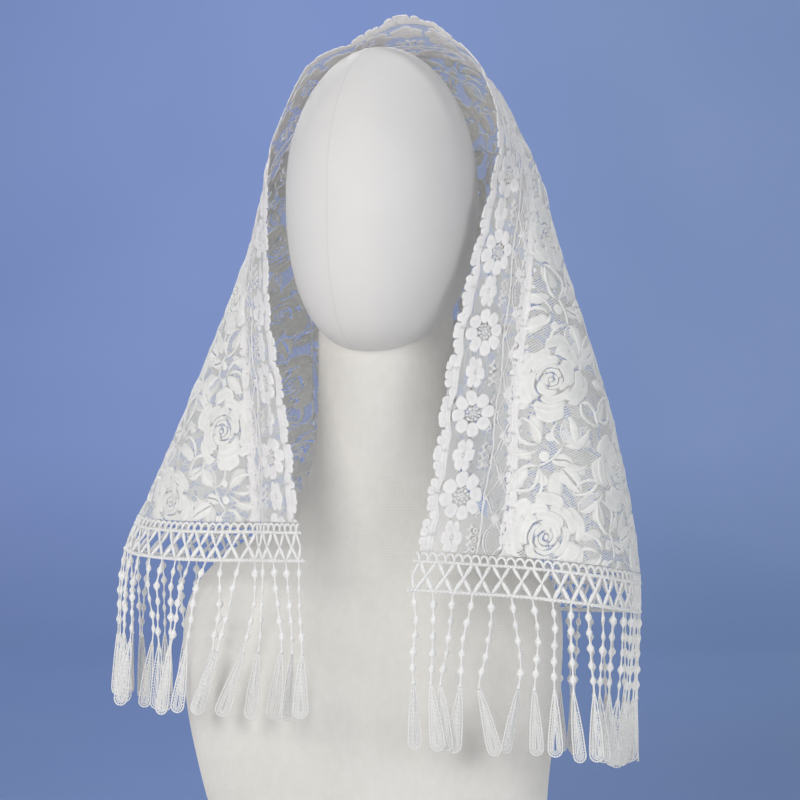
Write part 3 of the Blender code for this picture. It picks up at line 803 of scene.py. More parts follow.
# ------------------------------------------------------------ ground sheets
def sheet_mesh(name, s, t, mat, node, front=None):
    """The cloth itself, an unbroken grid on the drape."""
    S, T = np.meshgrid(s, t, indexing="ij")
    if front is not None:      # the first row follows a scalloped edge
        lift = np.clip(1.0 - (T - t[0]) / 0.010, 0, 1)
        T = T + front(S) * lift
    P = WORN(S, T)
    i = np.arange(S.size).reshape(S.shape)
    f = np.stack([i[:-1, :-1], i[1:, :-1], i[1:, 1:], i[:-1, 1:]], -1).reshape(-1, 4)
    if WORN_HAND < 0:
        f = f[:, ::-1]
    pile = Pile()
    pile.add(P.reshape(-1, 3), f, np.stack([S, T, 0 * S], -1).reshape(-1, 3), 0.6)
    return pile.mesh(name, mat, node)


FLOWER = 0.03375            # from one flower of the edging to the next
FLOWER_AT = 0.309
BUMP = FLOWER / 5           # the small rounds along the front edge


def scallop(s):
    """How far the front edge lies in from the outermost line."""
    f = np.abs(((np.asarray(s, float) - FLOWER_AT) / FLOWER + 0.5) % 1.0 * 2 - 1)
    return 0.0050 * f ** 2.4


panel_ground = sheet_mesh("rose_lace_ground", np.linspace(-PANEL_HALF + 0.0005, PANEL_HALF - 0.0005, 247),
                          np.linspace(EDGING_WIDTH, CLOTH_WIDTH, 97), GAUZE, "lace_panel")
edging_ground = sheet_mesh("daisy_edging_ground", np.linspace(-PANEL_HALF + 0.0005, PANEL_HALF - 0.0005, 295),
                           np.linspace(0.0012, EDGING_WIDTH, 17), GAUZE, "front_edging", scallop)


# ------------------------------------------------------------ flat motifs, in millimetres
def turned(g, angle=0.0, at=(0.0, 0.0), scale=1.0, squash=1.0):
    a = math.radians(angle)
    x, y = g[..., 0] * scale, g[..., 1] * scale * squash
    return np.stack([x * math.cos(a) - y * math.sin(a) + at[0], x * math.sin(a) + y * math.cos(a) + at[1]], -1)


V5, H5 = np.array((0.0, 0.15, 0.5, 0.85, 1.0)), np.array((0.24, 0.34, 0.25, 0.33, 0.24)) * MM
T5 = np.array((0.95, 1.0, 0.72, 0.95, 0.95))


def crescent(r0, r1, a0, a1, twist=0.0, m=8, waves=0, end=0.35, swell=0.0):
    """A petal lying round a centre: radii, angles in degrees, and how far it spirals out."""
    u = np.linspace(0, 1, m)
    body = end + (1 - end) * (1 - np.abs(2 * u - 1) ** 3.0) ** 0.6
    inner = r0 + twist * u
    outer = inner + (r1 - r0) * body * (1 + 0.08 * np.abs(np.sin(u * math.pi * waves)) * (1 if waves else 0) + swell * np.sin(u * math.pi))
    a = np.radians(a0 + (a1 - a0) * u)
    r = inner[:, None] + (outer - inner)[:, None] * V5
    return np.stack([r * np.cos(a)[:, None], r * np.sin(a)[:, None]], -1)


def lobe(rx, ry, egg=0.0, n=5):
    """A rounded plate, wider toward +x with a positive egg."""
    a = {5: np.array((-1, -0.74, 0, 0.74, 1.0)), 7: np.array((-1, -0.82, -0.42, 0, 0.42, 0.82, 1.0))}[n]
    A, B = np.meshgrid(a, a, indexing="ij")
    x, y = A * np.sqrt(1 - B * B / 2), B * np.sqrt(1 - A * A / 2)
    r = np.maximum(np.abs(A), np.abs(B))
    h = np.interp(r, (0, 0.45, 0.80, 1.0), (0.25, 0.26, 0.34, 0.24)) * MM
    tone = np.interp(r, (0, 0.45, 0.80, 1.0), (0.70, 0.72, 1.0, 0.95))
    return np.stack([x * rx, y * ry * (1 + egg * x)], -1), h, tone


def leaf_half(length, width, bend, gap, side, m=9):
    """Half a leaf along +x from its stalk, with a slit beside the vein."""
    u = np.linspace(0.0, 1.0, m)
    x = u * length
    mid = bend * np.sin(u * math.pi * 0.9)
    w = width / 2 * np.sin(math.pi * u ** 0.82) ** 0.85
    slit = gap / 2 * np.clip(np.minimum(u / 0.18, (1 - u) / 0.25), 0, 1)
    lo, hi = mid + side * slit, mid + side * np.maximum(w, slit + 0.25)
    y = lo[:, None] + (hi - lo)[:, None] * np.array((0, 0.22, 0.78, 1.0))
    return np.stack([np.broadcast_to(x[:, None], y.shape), y], -1)


H4, T4 = np.array((0.26, 0.33, 0.27, 0.24)) * MM, np.array((1.0, 1.0, 0.7, 0.95))


def strip(line, width, ends=0.5):
    """A band along a flat line of points."""
    line = np.asarray(line, float)
    d = np.gradient(line, axis=0)
    d = unit(d)
    n = np.stack([-d[:, 1], d[:, 0]], 1)
    w = np.broadcast_to(np.asarray(width, float), (len(line),)).copy() / 2
    w[0] *= ends
    w[-1] *= ends
    return np.stack([line - n * w[:, None], line + n * w[:, None]], 1)


def bow(p, q, sag, k=7):
    """Points of a gentle arc from p to q."""
    p, q = np.asarray(p, float), np.asarray(q, float)
    u = np.linspace(0, 1, k)[:, None]
    d = q - p
    n = np.array((-d[1], d[0])) / max(1e-9, np.hypot(*d))
    return p + d * u + n * sag * np.sin(u * math.pi)


def wobble(g, seed):
    """Knitted unevenness: slow bends and short ragged steps, in flat metres."""
    k, x, y = 95.0, g[..., 0], g[..., 1]
    slow = np.stack([np.sin(y * k * 2.1 + seed) + np.sin(x * k + seed * 2.3),
                     np.sin(x * k * 1.9 + seed * 1.7) + np.sin(y * k * 1.1 + seed)], -1)
    short = np.stack([np.sin(x * 860 + y * 640 + seed), np.sin(y * 790 - x * 570 + seed * 1.3)], -1)
    return g + 0.00055 * slow + 0.00030 * short


def place(sheet, g, top, tone, at, angle, seed, scale=1.0, squash=1.0):
    w = wobble(turned(g, angle, (0, 0), scale * MM, squash) + np.asarray(at), seed)
    sheet.slab(w, top, tone=tone)


ROSE_COLUMNS = ("inner", "outer", "petals", "share", "turn", "twist", "points", "waves", "ends", "overlap", "lift")
ROSE = (
    (2.5, 5.0, 2, 0.97, 20, 1.1, 8, 0, 0.75, 0.00, 0.10),
    (5.7, 8.8, 3, 0.97, 75, 1.2, 8, 0, 0.72, 0.00, 0.09),
    (9.5, 13.1, 3, 0.975, 130, 1.4, 9, 0, 0.68, 0.25, 0.08),
    (13.8, 19.4, 4, 0.98, 10, 1.6, 9, 2, 0.60, 0.45, 0.05),
    (20.0, 27.4, 5, 0.99, 40, 1.3, 10, 3, 0.50, 0.60, 0.03),
    (26.4, 34.6, 6, 0.90, 70, 0.6, 9, 3, 0.34, 0.80, 0.00),
)


def rose(sheet, at, angle, seed, size=1.0):
    rng = np.random.default_rng(seed)
    squash = rng.uniform(0.80, 0.95)
    g, h, tone = lobe(2.0, 1.7)
    place(sheet, g, h + 0.1 * MM, tone, at, angle, seed, size)
    off = np.array((0.0, 0.0))
    heading = rng.uniform(0, 2 * math.pi)
    drift = rng.uniform(0.45, 0.75) * np.array((math.cos(heading), math.sin(heading)))
    for inner, outer, count, share, turn, twist, m, waves, ends, overlap, lift in ROSE:
        span = 360.0 / count
        off = off + drift
        for k in range(count):
            a0 = turn + k * span + rng.uniform(-7, 7)
            a1 = a0 + span * share * rng.uniform(0.94, 1.02)
            r0, r1 = inner + rng.uniform(-0.2, 0.2), outer + rng.uniform(-1.0, 1.0) * (outer / 22)
            if rng.random() < overlap:
                r0 -= 1.3          # here the petal runs on under the one inside it
            g = crescent(r0, r1, a0, a1, twist, m, waves, ends, 0.05 + 0.06 * rng.random()) + off
            place(sheet, g, H5 * rng.uniform(0.9, 1.1) + (lift + rng.uniform(0, 0.03)) * MM, T5 * rng.uniform(0.72, 1.0),
                  at, angle, seed, size, squash)


def leaf(sheet, threads, at, angle, length, width, bend, seed, open_half=0):
    """A leaf from its stalk; one half may be a row of fine bars instead of close knitting."""
    for side in (1, -1):
        g = leaf_half(length, width, bend, 1.5, side)
        if open_half == 2:
            place(sheet, strip(g[:, 3], np.array((2.2, 3.0, 3.4, 3.0, 2.6, 2.9, 2.6, 2.2, 1.6)), 0.7), 0.32 * MM, 0.95,
                  at, angle, seed)
            continue
        if open_half != side:
            place(sheet, g, H4, T4, at, angle, seed)
            continue
        rim = strip(g[:, 3], 1.1, 0.6)
        place(sheet, rim, 0.42 * MM, 1.0, at, angle, seed)
        u = np.linspace(0.06, 0.95, int(length / 1.25))
        x = u * (len(g) - 1)
        i = x.astype(int)
        f = (x - i)[:, None]
        a, b = g[i, 0] * (1 - f) + g[i + 1, 0] * f, g[i, 3] * (1 - f) + g[i + 1, 3] * f
        pts = wobble(turned(np.stack([a, b], 1), angle, (0, 0), MM) + np.asarray(at), seed)
        threads.extend(list(pts))


def patch(sheet, at, angle, length, width, seed):
    """A close-knit shape of no particular kind that fills the ground behind the leaves."""
    u = np.linspace(0, 1, 7)
    half = width / 2 * (np.sin(math.pi * u ** 0.9) ** 0.6 + 0.12 * np.sin(u * 17 + seed))
    half = np.maximum(half, 0.5)
    mid = 0.10 * length * np.sin(u * math.pi + seed)
    g = np.stack([np.broadcast_to((u * length - length / 2)[:, None], (7, 4)),
                  mid[:, None] + half[:, None] * np.array((-1.0, -0.4, 0.4, 1.0))], -1)
    place(sheet, g, np.array((0.12, 0.18, 0.16, 0.12)) * MM, 0.62 + 0.12 * math.sin(seed * 1.9), at, angle, seed)


def blossom(sheet, at, angle, seed, r=11.0, petals=5):
    for k in range(petals):
        g, h, tone = lobe(r * 0.42, r * 0.39, 0.12)
        g = turned(g, 0, (r * 0.62, 0))
        g = turned(g, 360.0 * k / petals)
        place(sheet, g, h, tone, at, angle, seed)
    g, h, tone = lobe(r * 0.17, r * 0.17)
    place(sheet, g, h, 1.0, at, angle, seed)


def stem(sheet, at, angle, seed, p, q, sag, width=1.5):
    place(sheet, strip(bow(p, q, sag), width), 0.40 * MM, 0.95, at, angle, seed)


def dot(r):
    """A very small round plate."""
    a = np.array((-1.0, 0.0, 1.0))
    A, B = np.meshgrid(a, a, indexing="ij")
    g = np.stack([A * np.sqrt(1 - B * B / 2), B * np.sqrt(1 - A * A / 2)], -1) * r
    top = np.where(np.maximum(np.abs(A), np.abs(B)) > 0.5, 0.20, 0.46) * MM
    return g, top


def band(sheet, s0, s1, inner, outer, step, rows, top, tone, cells=10):
    """A long band between two wavy lines t = inner(s) and t = outer(s)."""
    n = max(2, int(round((s1 - s0) / step)))
    s = np.linspace(s0, s1, n + 1)
    for i in range(0, n, cells):
        ss = s[i:min(n, i + cells) + 1]
        lo, hi = inner(ss), outer(ss)
        v = np.linspace(0, 1, rows)
        g = np.stack([np.broadcast_to(ss[:, None], (len(ss), rows)), lo[:, None] + (hi - lo)[:, None] * v], -1)
        sheet.slab(g, top, tone=tone)


# ------------------------------------------------------------ rose lace
LACE_S, LACE_T = (-PANEL_HALF + 0.0006, PANEL_HALF - 0.0006), (EDGING_WIDTH + 0.0004, CLOTH_WIDTH - 0.0004)
lace = {"left": Flat(LACE_S, LACE_T), "right": Flat(LACE_S, LACE_T)}
bars = {"left": [], "right": []}


def half_of(s):
    return "right" if s >= 0 else "left"


# roses along the front of the cloth stand where they fall on the model; the rest
# follow the half-drop repeat: along, across, turned (degrees), size
FRONT_ROSES = (
    (0.471, 0.106, 200, 1.04), (0.345, 0.092, 150, 1.08), (0.222, 0.090, 40, 0.98), (0.094, 0.098, 300, 1.0),
    (-0.031, 0.098, 80, 1.0), (-0.157, 0.096, 260, 1.0), (-0.2835, 0.093, 20, 1.02), (-0.408, 0.098, 330, 1.05),
    (0.4082, 0.166, 70, 1.02), (0.285, 0.160, 255, 1.0), (-0.346, 0.163, 120, 1.0), (-0.470, 0.163, 45, 1.0),
    (-0.2198, 0.163, 210, 0.98), (0.157, 0.163, 15, 1.0),
)
STEP_S, STEP_T = 0.1256, 0.130
sites = []
for k in range(8):
    for j in range(3):
        for s, t, kind in ((0.471 - STEP_S * k, 0.098 + STEP_T * j, "rose"),
                           (0.4082 - STEP_S * k, 0.163 + STEP_T * j, "rose"),
                           (0.4082 - STEP_S * k, 0.098 + STEP_T * j, "sprig"),
                           (0.471 - STEP_S * k, 0.163 + STEP_T * j, "sprig")):
            sites.append((s, t, kind))

RNG = np.random.default_rng(11)
SPRIG_A = {
    "leaves": ((8, -4, -38, 30, 17.5, 3.0, 2), (-12, 8, 146, 29, 16.5, -2.0, 1), (1, 3, 98, 17, 10.0, 1.0, 0),
               (5, 12, 58, 26, 15.0, 2.0, 0), (-9, -9, -128, 28, 17.0, 2.5, 2)),
    "stems": ((8, -4, 31, 3, 4.0), (-12, 8, -31, -3, 5.0), (2, 13, -5, 32, -4.0), (-5, -8, 4, -32, 4.0), (-12, 8, 8, -4, 2.0)),
    "patches": ((19, 14, 28, 26, 14), (-20, -17, 40, 24, 13), (22, -17, -35, 22, 12), (-20, 20, 120, 22, 12),
                (3, -22, 80, 20, 10), (2, 25, 75, 18, 10)),
    "blossom": None, "buds": ((17, 3, 4.6, 3.6), (-17, -3, 4.2, 3.4), (-1, -3, 4.4, 3.8)),
}
SPRIG_B = {
    "leaves": ((-21, -5, 14, 38, 19.0, 3.0, 2), (3, 6, -58, 33, 18.0, -3.0, 0),
               (-5, 9, 102, 24, 14.5, 1.5, 0), (11, 9, 30, 24, 14.0, -2.0, -1), (-12, -8, -118, 24, 13.5, 1.5, 2)),
    "stems": ((-22, -5, -32, 2, -2.0), (14, 6, 32, -4, 3.0), (-5, 8, 6, 32, 5.0), (4, 4, -6, -31, -5.0),
              (-20, -6, -8, -24, 3.0)),
    "patches": ((20, 17, 45, 24, 13), (-19, 17, -30, 26, 14), (-17, -21, 55, 22, 12), (23, -12, -70, 20, 11),
                (-2, -24, 10, 18, 10), (0, 26, 95, 20, 11)),
    "blossom": None, "buds": ((-8, -22, 4.6, 3.6), (20, -14, 4.2, 3.4), (-20, 14, 4.0, 3.2)),
}


def sprig(at, kind, angle, flip, seed):
    sheet, threads = lace[half_of(at[0])], bars[half_of(at[0])]
    f = -1.0 if flip else 1.0

    def put(x, y):
        q = turned(np.array((x * f, y)), angle, (0, 0), MM)
        return (at[0] + q[0], at[1] + q[1])

    for x, y, a, length, width, bend, open_half in kind["leaves"]:
        leaf(sheet, threads, put(x, y), angle + (180 - a if flip else a), length, width,
             -bend if flip else bend, seed, int(-open_half if flip and open_half != 2 else open_half))
    for x0, y0, x1, y1, sag in kind["stems"]:
        place(sheet, strip(bow((x0 * f, y0), (x1 * f, y1), sag * f), 2.3), 0.34 * MM, 0.95, at, angle, seed)
    for x, y, a, length, width in kind["patches"]:
        patch(sheet, put(x, y), angle + (180 - a if flip else a), length, width, seed + x)
    for x, y, rx, ry in kind["buds"]:
        g, h, tone = lobe(rx, ry)
        place(sheet, g, h, tone, put(x, y), angle + 40, seed)
    if kind["blossom"]:
        x, y, r = kind["blossom"]
        blossom(sheet, put(x, y), angle + 20, seed, r)


for i, (s, t, kind) in enumerate(sites):
    if abs(s) > PANEL_HALF + 0.02:
        continue
    if kind == "rose":
        turn, size = RNG.uniform(0, 360), RNG.uniform(0.96, 1.05)
        for fs, ft, fturn, fsize in FRONT_ROSES:
            if abs(fs - s) < 0.02 and abs(ft - t) < 0.02:
                s, t, turn, size = fs, ft, fturn, fsize
        sheet = lace[half_of(s)]
        rose(sheet, (s, t), turn, i, size)
        for a, length, width in ((36, 25, 14), (58, 23, 12.5), (134, 26, 14.5), (-52, 21, 11)):
            a += RNG.uniform(-8, 8)
            b = math.radians(a)
            r = 30.0 * size
            leaf(sheet, bars[half_of(s)], (s + r * MM * math.cos(b), t + r * MM * math.sin(b)), a + RNG.uniform(-18, 18),
                 length, width, RNG.uniform(-3, 3), i, int(RNG.choice((0, 0, 1, -1, 2))))
    else:
        which = SPRIG_A if (i // 2) % 2 else SPRIG_B
        sprig((s, t), which, RNG.uniform(-14, 14), RNG.random() < 0.5, i)

# a narrow close selvage along the back edge
for side, (s0, s1) in (("left", (LACE_S[0], 0.0)), ("right", (0.0, LACE_S[1]))):
    band(lace[side], s0, s1, lambda s: CLOTH_WIDTH - 0.0036 - 0.0006 * np.sin(s * 700), lambda s: 0 * s + CLOTH_WIDTH - 0.0006,
         0.004, 3, (0.2 * MM, 0.4 * MM, 0.2 * MM), 0.9)

# ------------------------------------------------------------ daisy edging
EDGE_S, EDGE_T = (-PANEL_HALF + 0.0006, PANEL_HALF - 0.0006), (0.0002, EDGING_WIDTH + 0.0004)
edging = {"left": Flat(EDGE_S, EDGE_T), "right": Flat(EDGE_S, EDGE_T)}
seam = {"left": Flat(EDGE_S, (0.0500, 0.0860)), "right": Flat(EDGE_S, (0.0500, 0.0860))}
hatch = {"left": [], "right": []}
DAISY_T, SMALL_T = 0.0298, 0.0268


def swing(s):
    """1 beside a daisy, -1 beside a small flower."""
    return np.cos(math.pi * (s - FLOWER_AT) / FLOWER)


def front_inner(s):
    return 0.45 * scallop(s) + 0.0118 - 0.0014 * swing(s)


def seam_in(s):
    """How far the close band strays in from the sewn seam toward the right end."""
    return 0.0080 * smooth((np.asarray(s, float) - 0.36) / 0.09)


def cord_line(s):
    return 0.0498 - 0.0009 * swing(s) + 0.0003 * np.sin(s * 410)


def trellis(s, phase, off=0.0):
    """A slanting cord that crosses the open strip between the cord line and the seam band."""
    lo, hi = cord_line(s) + 0.0014, 0.0642 + seam_in(s)
    zigzag = 2 / math.pi * np.arcsin(0.985 * np.cos((s - FLOWER_AT) * math.pi / FLOWER + phase))
    return np.clip((lo + hi) / 2 + (hi - lo) / 2 * zigzag + 0.0004 * np.sin(s * 530 + phase) + off, lo, hi)


for k in range(-120, 75):
    s = FLOWER_AT + BUMP * (k + 0.5)
    if abs(s) > PANEL_HALF + 0.002:
        continue
    g, h, tone = lobe(3.85, 3.5)
    place(edging[half_of(s)], g, h + (0.10 + (k % 2) * 0.05) * MM, tone, (s, float(scallop(s)) + 0.0034), 0, k)

for side, (s0, s1) in (("left", (EDGE_S[0], 0.0)), ("right", (0.0, EDGE_S[1]))):
    sheet = edging[side]
    band(sheet, s0, s1, lambda s: scallop(s) + 0.0048, front_inner,
         0.0034, 7, np.array((0.22, 0.24, 0.36, 0.36, 0.20, 0.34, 0.36)) * MM, np.array((0.7, 0.75, 1.0, 1.0, 0.55, 1.0, 1.0)))
    band(sheet, s0, s1, cord_line, lambda s: cord_line(s) + 0.0015, 0.0034, 2, 0.36 * MM, 1.0)
    for phase in (0.0, math.pi):
        band(seam[side], s0, s1, lambda s: trellis(s, phase), lambda s: trellis(s, phase) + 0.0013, 0.0026, 2, 0.36 * MM, 1.0)
        band(seam[side], s0, s1, lambda s: trellis(s, phase, 0.0024), lambda s: trellis(s, phase, 0.0024) + 0.0008, 0.0026, 2,
             0.30 * MM, 0.9)
    # the close irregular band that hides the sewn seam
    band(seam[side], s0, s1, lambda s: seam_in(s) + 0.0640 + 0.0008 * np.sin(s * 420) + 0.0007 * np.sin(s * 1130),
         lambda s: seam_in(s) + 0.0708 + 0.0006 * np.sin(s * 310 + 1) + 0.0006 * np.sin(s * 970), 0.0030, 6,
         np.array((0.26, 0.32, 0.28, 0.33, 0.29, 0.26)) * MM, np.array((0.85, 1.0, 0.62, 0.95, 0.65, 0.9)))

edge_rng = np.random.default_rng(21)
for s in np.arange(-PANEL_HALF + 0.003, PANEL_HALF - 0.002, 0.0046):
    r = edge_rng.uniform(1.7, 2.7)
    g, h, tone = lobe(r, r * 0.9)
    place(seam[half_of(s)], g, h + 0.05 * MM, tone,
          (s + edge_rng.uniform(-0.0006, 0.0006), float(seam_in(s)) + 0.0634 - edge_rng.uniform(0, 0.0014)), 0, s * 900)
    if edge_rng.random() < 0.45:
        g, h, tone = lobe(r * 0.9, r * 0.7)
        place(seam[half_of(s)], g, h, tone, (s, float(seam_in(s)) + 0.0712 + edge_rng.uniform(0, 0.0010)), 0, s * 700)

for k in range(-24, 7):
    s = FLOWER_AT + FLOWER * k
    if abs(s) > PANEL_HALF + 0.02:
        continue
    sheet, threads = edging[half_of(s)], hatch[half_of(s)]
    if k % 2 == 0:      # a daisy of eight petals with a dotted eye
        at = (s, DAISY_T)
        for j in range(8):
            g, h, tone = lobe(6.4, 5.5, 0.12)
            place(sheet, turned(turned(g, 0, (12.9, 0)), 45 * j + 10) * (1.05, 0.97), h + (j % 2) * 0.07 * MM, tone, at, 0, k)
        for j in range(10):
            g, top = dot(1.25)
            place(sheet, turned(turned(g, 0, (5.2, 0)), 36 * j), top, 0.95, at, 0, k)
        for j in range(5):
            g, top = dot(1.05)
            place(sheet, turned(turned(g, 0, (2.5, 0)), 72 * j + 15), top, 0.9, at, 0, k)
        g, top = dot(0.8)
        place(sheet, g, top, 0.9, at, 0, k)
        for j in range(16):
            a = math.radians(22.5 * j)
            threads.append(np.array([(s + r * math.cos(a) * MM, DAISY_T + r * math.sin(a) * MM) for r in (0.6, 7.0)]))
        # a serpentine cord beside the daisy, toward the trellis, on either flank
        for x0, x1 in ((-16.0, -9.0), (9.0, 16.0)):
            x = np.linspace(x0, x1, 9)
            place(sheet, strip(np.stack([x, 45.6 + 1.5 * np.sin((x - x0) / (x1 - x0) * 2 * math.pi)], 1), 1.2), 0.36 * MM, 1.0,
                  (s, 0.0), 0, k)
    else:               # a small flower of six petals, with a looped cord behind it
        at = (s, SMALL_T)
        for j in range(6):
            g, h, tone = lobe(5.0, 4.2, 0.12)
            place(sheet, turned(turned(g, 0, (6.2, 0)), 60 * j + 30) * (1.30, 0.82), h + (j % 2) * 0.06 * MM, tone, at, 0, k)
        g, top = dot(1.5)
        place(sheet, g, top, 0.8, at, 0, k)
        x = np.linspace(-11.5, 11.5, 45)
        y = 42.6 + 2.7 * np.sin(x * 2 * math.pi / 5.75)
        x = x + 1.3 * np.sin(x * 4 * math.pi / 5.75)
        for i in (0, 11, 22, 33):
            place(sheet, strip(np.stack([x, y], 1)[i:i + 12], 1.45, 1.0), 0.38 * MM, 1.0, (s, 0.0), 0, k)
        for x in (-7.2, 0.0, 7.2):
            g = crescent(0.9, 2.1, 5, 355, 0, 10, 0, 1.0)[:, [0, 4]]
            place(sheet, g, 0.34 * MM, 0.95, (s + x * MM, 0.0470), 0, k)
    # the trellis: knots where its cords cross, and where they meet the cord line
    band_seam = seam[half_of(s)]
    for c in (-FLOWER / 2, FLOWER / 2):
        mid = float(trellis(s + c, 0.0) + trellis(s + c, math.pi)) / 2 + 0.0010
        for j in range(6):
            g, top = dot(1.15)
            place(band_seam, turned(turned(g, 0, (2.1, 0)), 60 * j + 18), top, 1.0, (s + c, mid), 0, k)
        for x, y in ((6.5, 0.0), (-6.5, 0.0), (0.0, 5.0), (0.0, -5.0)):
            place(band_seam, strip(bow((x * 0.3, y * 0.3), (x, y), 0.5, 5), 0.85), 0.32 * MM, 0.95, (s + c, mid), 0, k)
    for x, y in ((-2.6, 51.0), (0.0, 51.8), (2.6, 51.0)):
        g, top = dot(1.25)
        place(band_seam, turned(g, 0, (x, y)), top, 1.0, (s, 0.0), 0, k)

for side in ("left", "right"):
    piles = {"rose_motifs_": (lace[side], LACE), "daisy_motifs_": (edging[side], DAISY)}
    for name, (flat, mat) in piles.items():
        pile = Pile()
        flat.onto(pile)
        if mat is DAISY:
            seam[side].onto(pile)
        pile.mesh(name + side, mat, None)

# ------------------------------------------------------------ net
Flat.close()
for side in ("left", "right"):
    mirror = 1 if side == "right" else -1
    s_range = (0.0, LACE_S[1]) if side == "right" else (LACE_S[0], 0.0)
    way = 126 if side == "right" else 54
    pile = Pile()
    net(pile, s_range, LACE_T, way, 0.0019, 0.00062, 0.00012, 0.75)
    net(pile, s_range, LACE_T, 180 - way, 0.0019, 0.00034, -0.00012, 0.6)
    ribbons(pile, bars[side], 0.00055, 0.00018, 0.8)
    pile.mesh("rose_net_" + side, THREAD, None)
    pile = Pile()
    net(pile, s_range, (0.0040, EDGE_T[1]), way, 0.0017, 0.00058, 0.00010, 0.75)
    net(pile, s_range, (0.0040, EDGE_T[1]), 180 - way, 0.0017, 0.00030, -0.00010, 0.6)
    ribbons(pile, hatch[side], 0.00040, 0.00016, 0.7)
    pile.mesh("daisy_net_" + side, THREAD, None)

# ------------------------------------------------------------ end trims
STRANDS = 30
LOOPS = 62
NODE_T = 0.004 +(CLOTH_WIDTH - 0.008) / (STRANDS - 1) * np.arange(STRANDS)
STRAP_U = np.array((0.0, 0.08, 0.18, 0.30, 0.42, 0.52, 0.60, 0.70, 0.82, 0.93, 1.0))
STRAP_W = np.array((0.95, 1.30, 1.75, 1.90, 1.50, 1.00, 1.00, 1.45, 1.75, 1.35, 1.00)) * MM


def plies(pile, side, d0, ply, lay, pitch, step=0.0009):
    """A two-ply cord along the trim, d0 below its upper edge."""
    t = np.linspace(-0.0016, CLOTH_WIDTH + 0.0016, int(CLOTH_WIDTH / step))
    for j in (0, 1):
        a = 2 * math.pi * t / pitch + j * math.pi
        sweep(pile, hem(side, t, d0 * MM + lay * np.cos(a), lay * np.sin(a)), hem_out(side, t), ply, ply * 0.9, 4, 0.9)


def strap(pile, side, t0, t1, lift, rng):
    u = STRAP_U
    t = t0 + (t1 - t0) * u
    d = (30.0 - 21.8 * u) * MM
    w = STRAP_W * rng.uniform(0.88, 1.12)
    h = 1.3 * lift * np.exp(-((u - 0.56) / 0.25) ** 2)
    sweep(pile, hem(side, t, d, h), hem_out(side, t), w, 0.55 * MM + 0.25 * w, 6, 1.0)


for side in ("left", "right"):
    rng = np.random.default_rng(7 if side == "left" else 8)
    pile = Pile()
    # a row of round loops, standing on the upper cord
    u = np.linspace(0, LOOPS, LOOPS * 16 + 1)
    t = CLOTH_WIDTH * u / LOOPS + 1.40 * MM * np.sin(2 * math.pi * u)
    sweep(pile, hem(side, t, (3.9 - 3.0 * np.cos(2 * math.pi * u)) * MM, 0.25 * MM * np.sin(2 * math.pi * u)),
          hem_out(side, t), 1.30 * MM, 0.85 * MM, 4, 1.0)
    plies(pile, side, 7.6, 1.08 * MM, 0.60 * MM, 0.0066)
    plies(pile, side, 30.1, 1.18 * MM, 0.66 * MM, 0.0070)
    for k in range(STRANDS - 1):
        a, b = NODE_T[k], NODE_T[k + 1]
        strap(pile, side, a + 0.0008, b - 0.0014, 0.45 * MM, rng)
        strap(pile, side, b - 0.0008, a + 0.0014, -0.45 * MM, rng)
    for a, b, c in ((NODE_T[0], 0.0006, 0.0042), (NODE_T[-1], CLOTH_WIDTH - 0.0006, CLOTH_WIDTH - 0.0042)):
        u = np.linspace(0, 1, 9)
        t = np.interp(u, (0, 0.5, 1), (a, b, c))
        sweep(pile, hem(side, t, (30.0 - 21.8 * u) * MM), hem_out(side, t), np.interp(u, (0, 0.25, 0.5, 0.8, 1), (0.85, 1.55, 0.85, 1.4, 0.85)) * MM,
              0.8 * MM, 6, 1.0)
    pile.mesh("end_lattice_" + side, CORD, "end_trim_" + side)

# ------------------------------------------------------------ fringe
CAMERA_TURN = math.radians(12)
SIDEWAYS = np.array((math.cos(CAMERA_TURN), math.sin(CAMERA_TURN), 0.0))
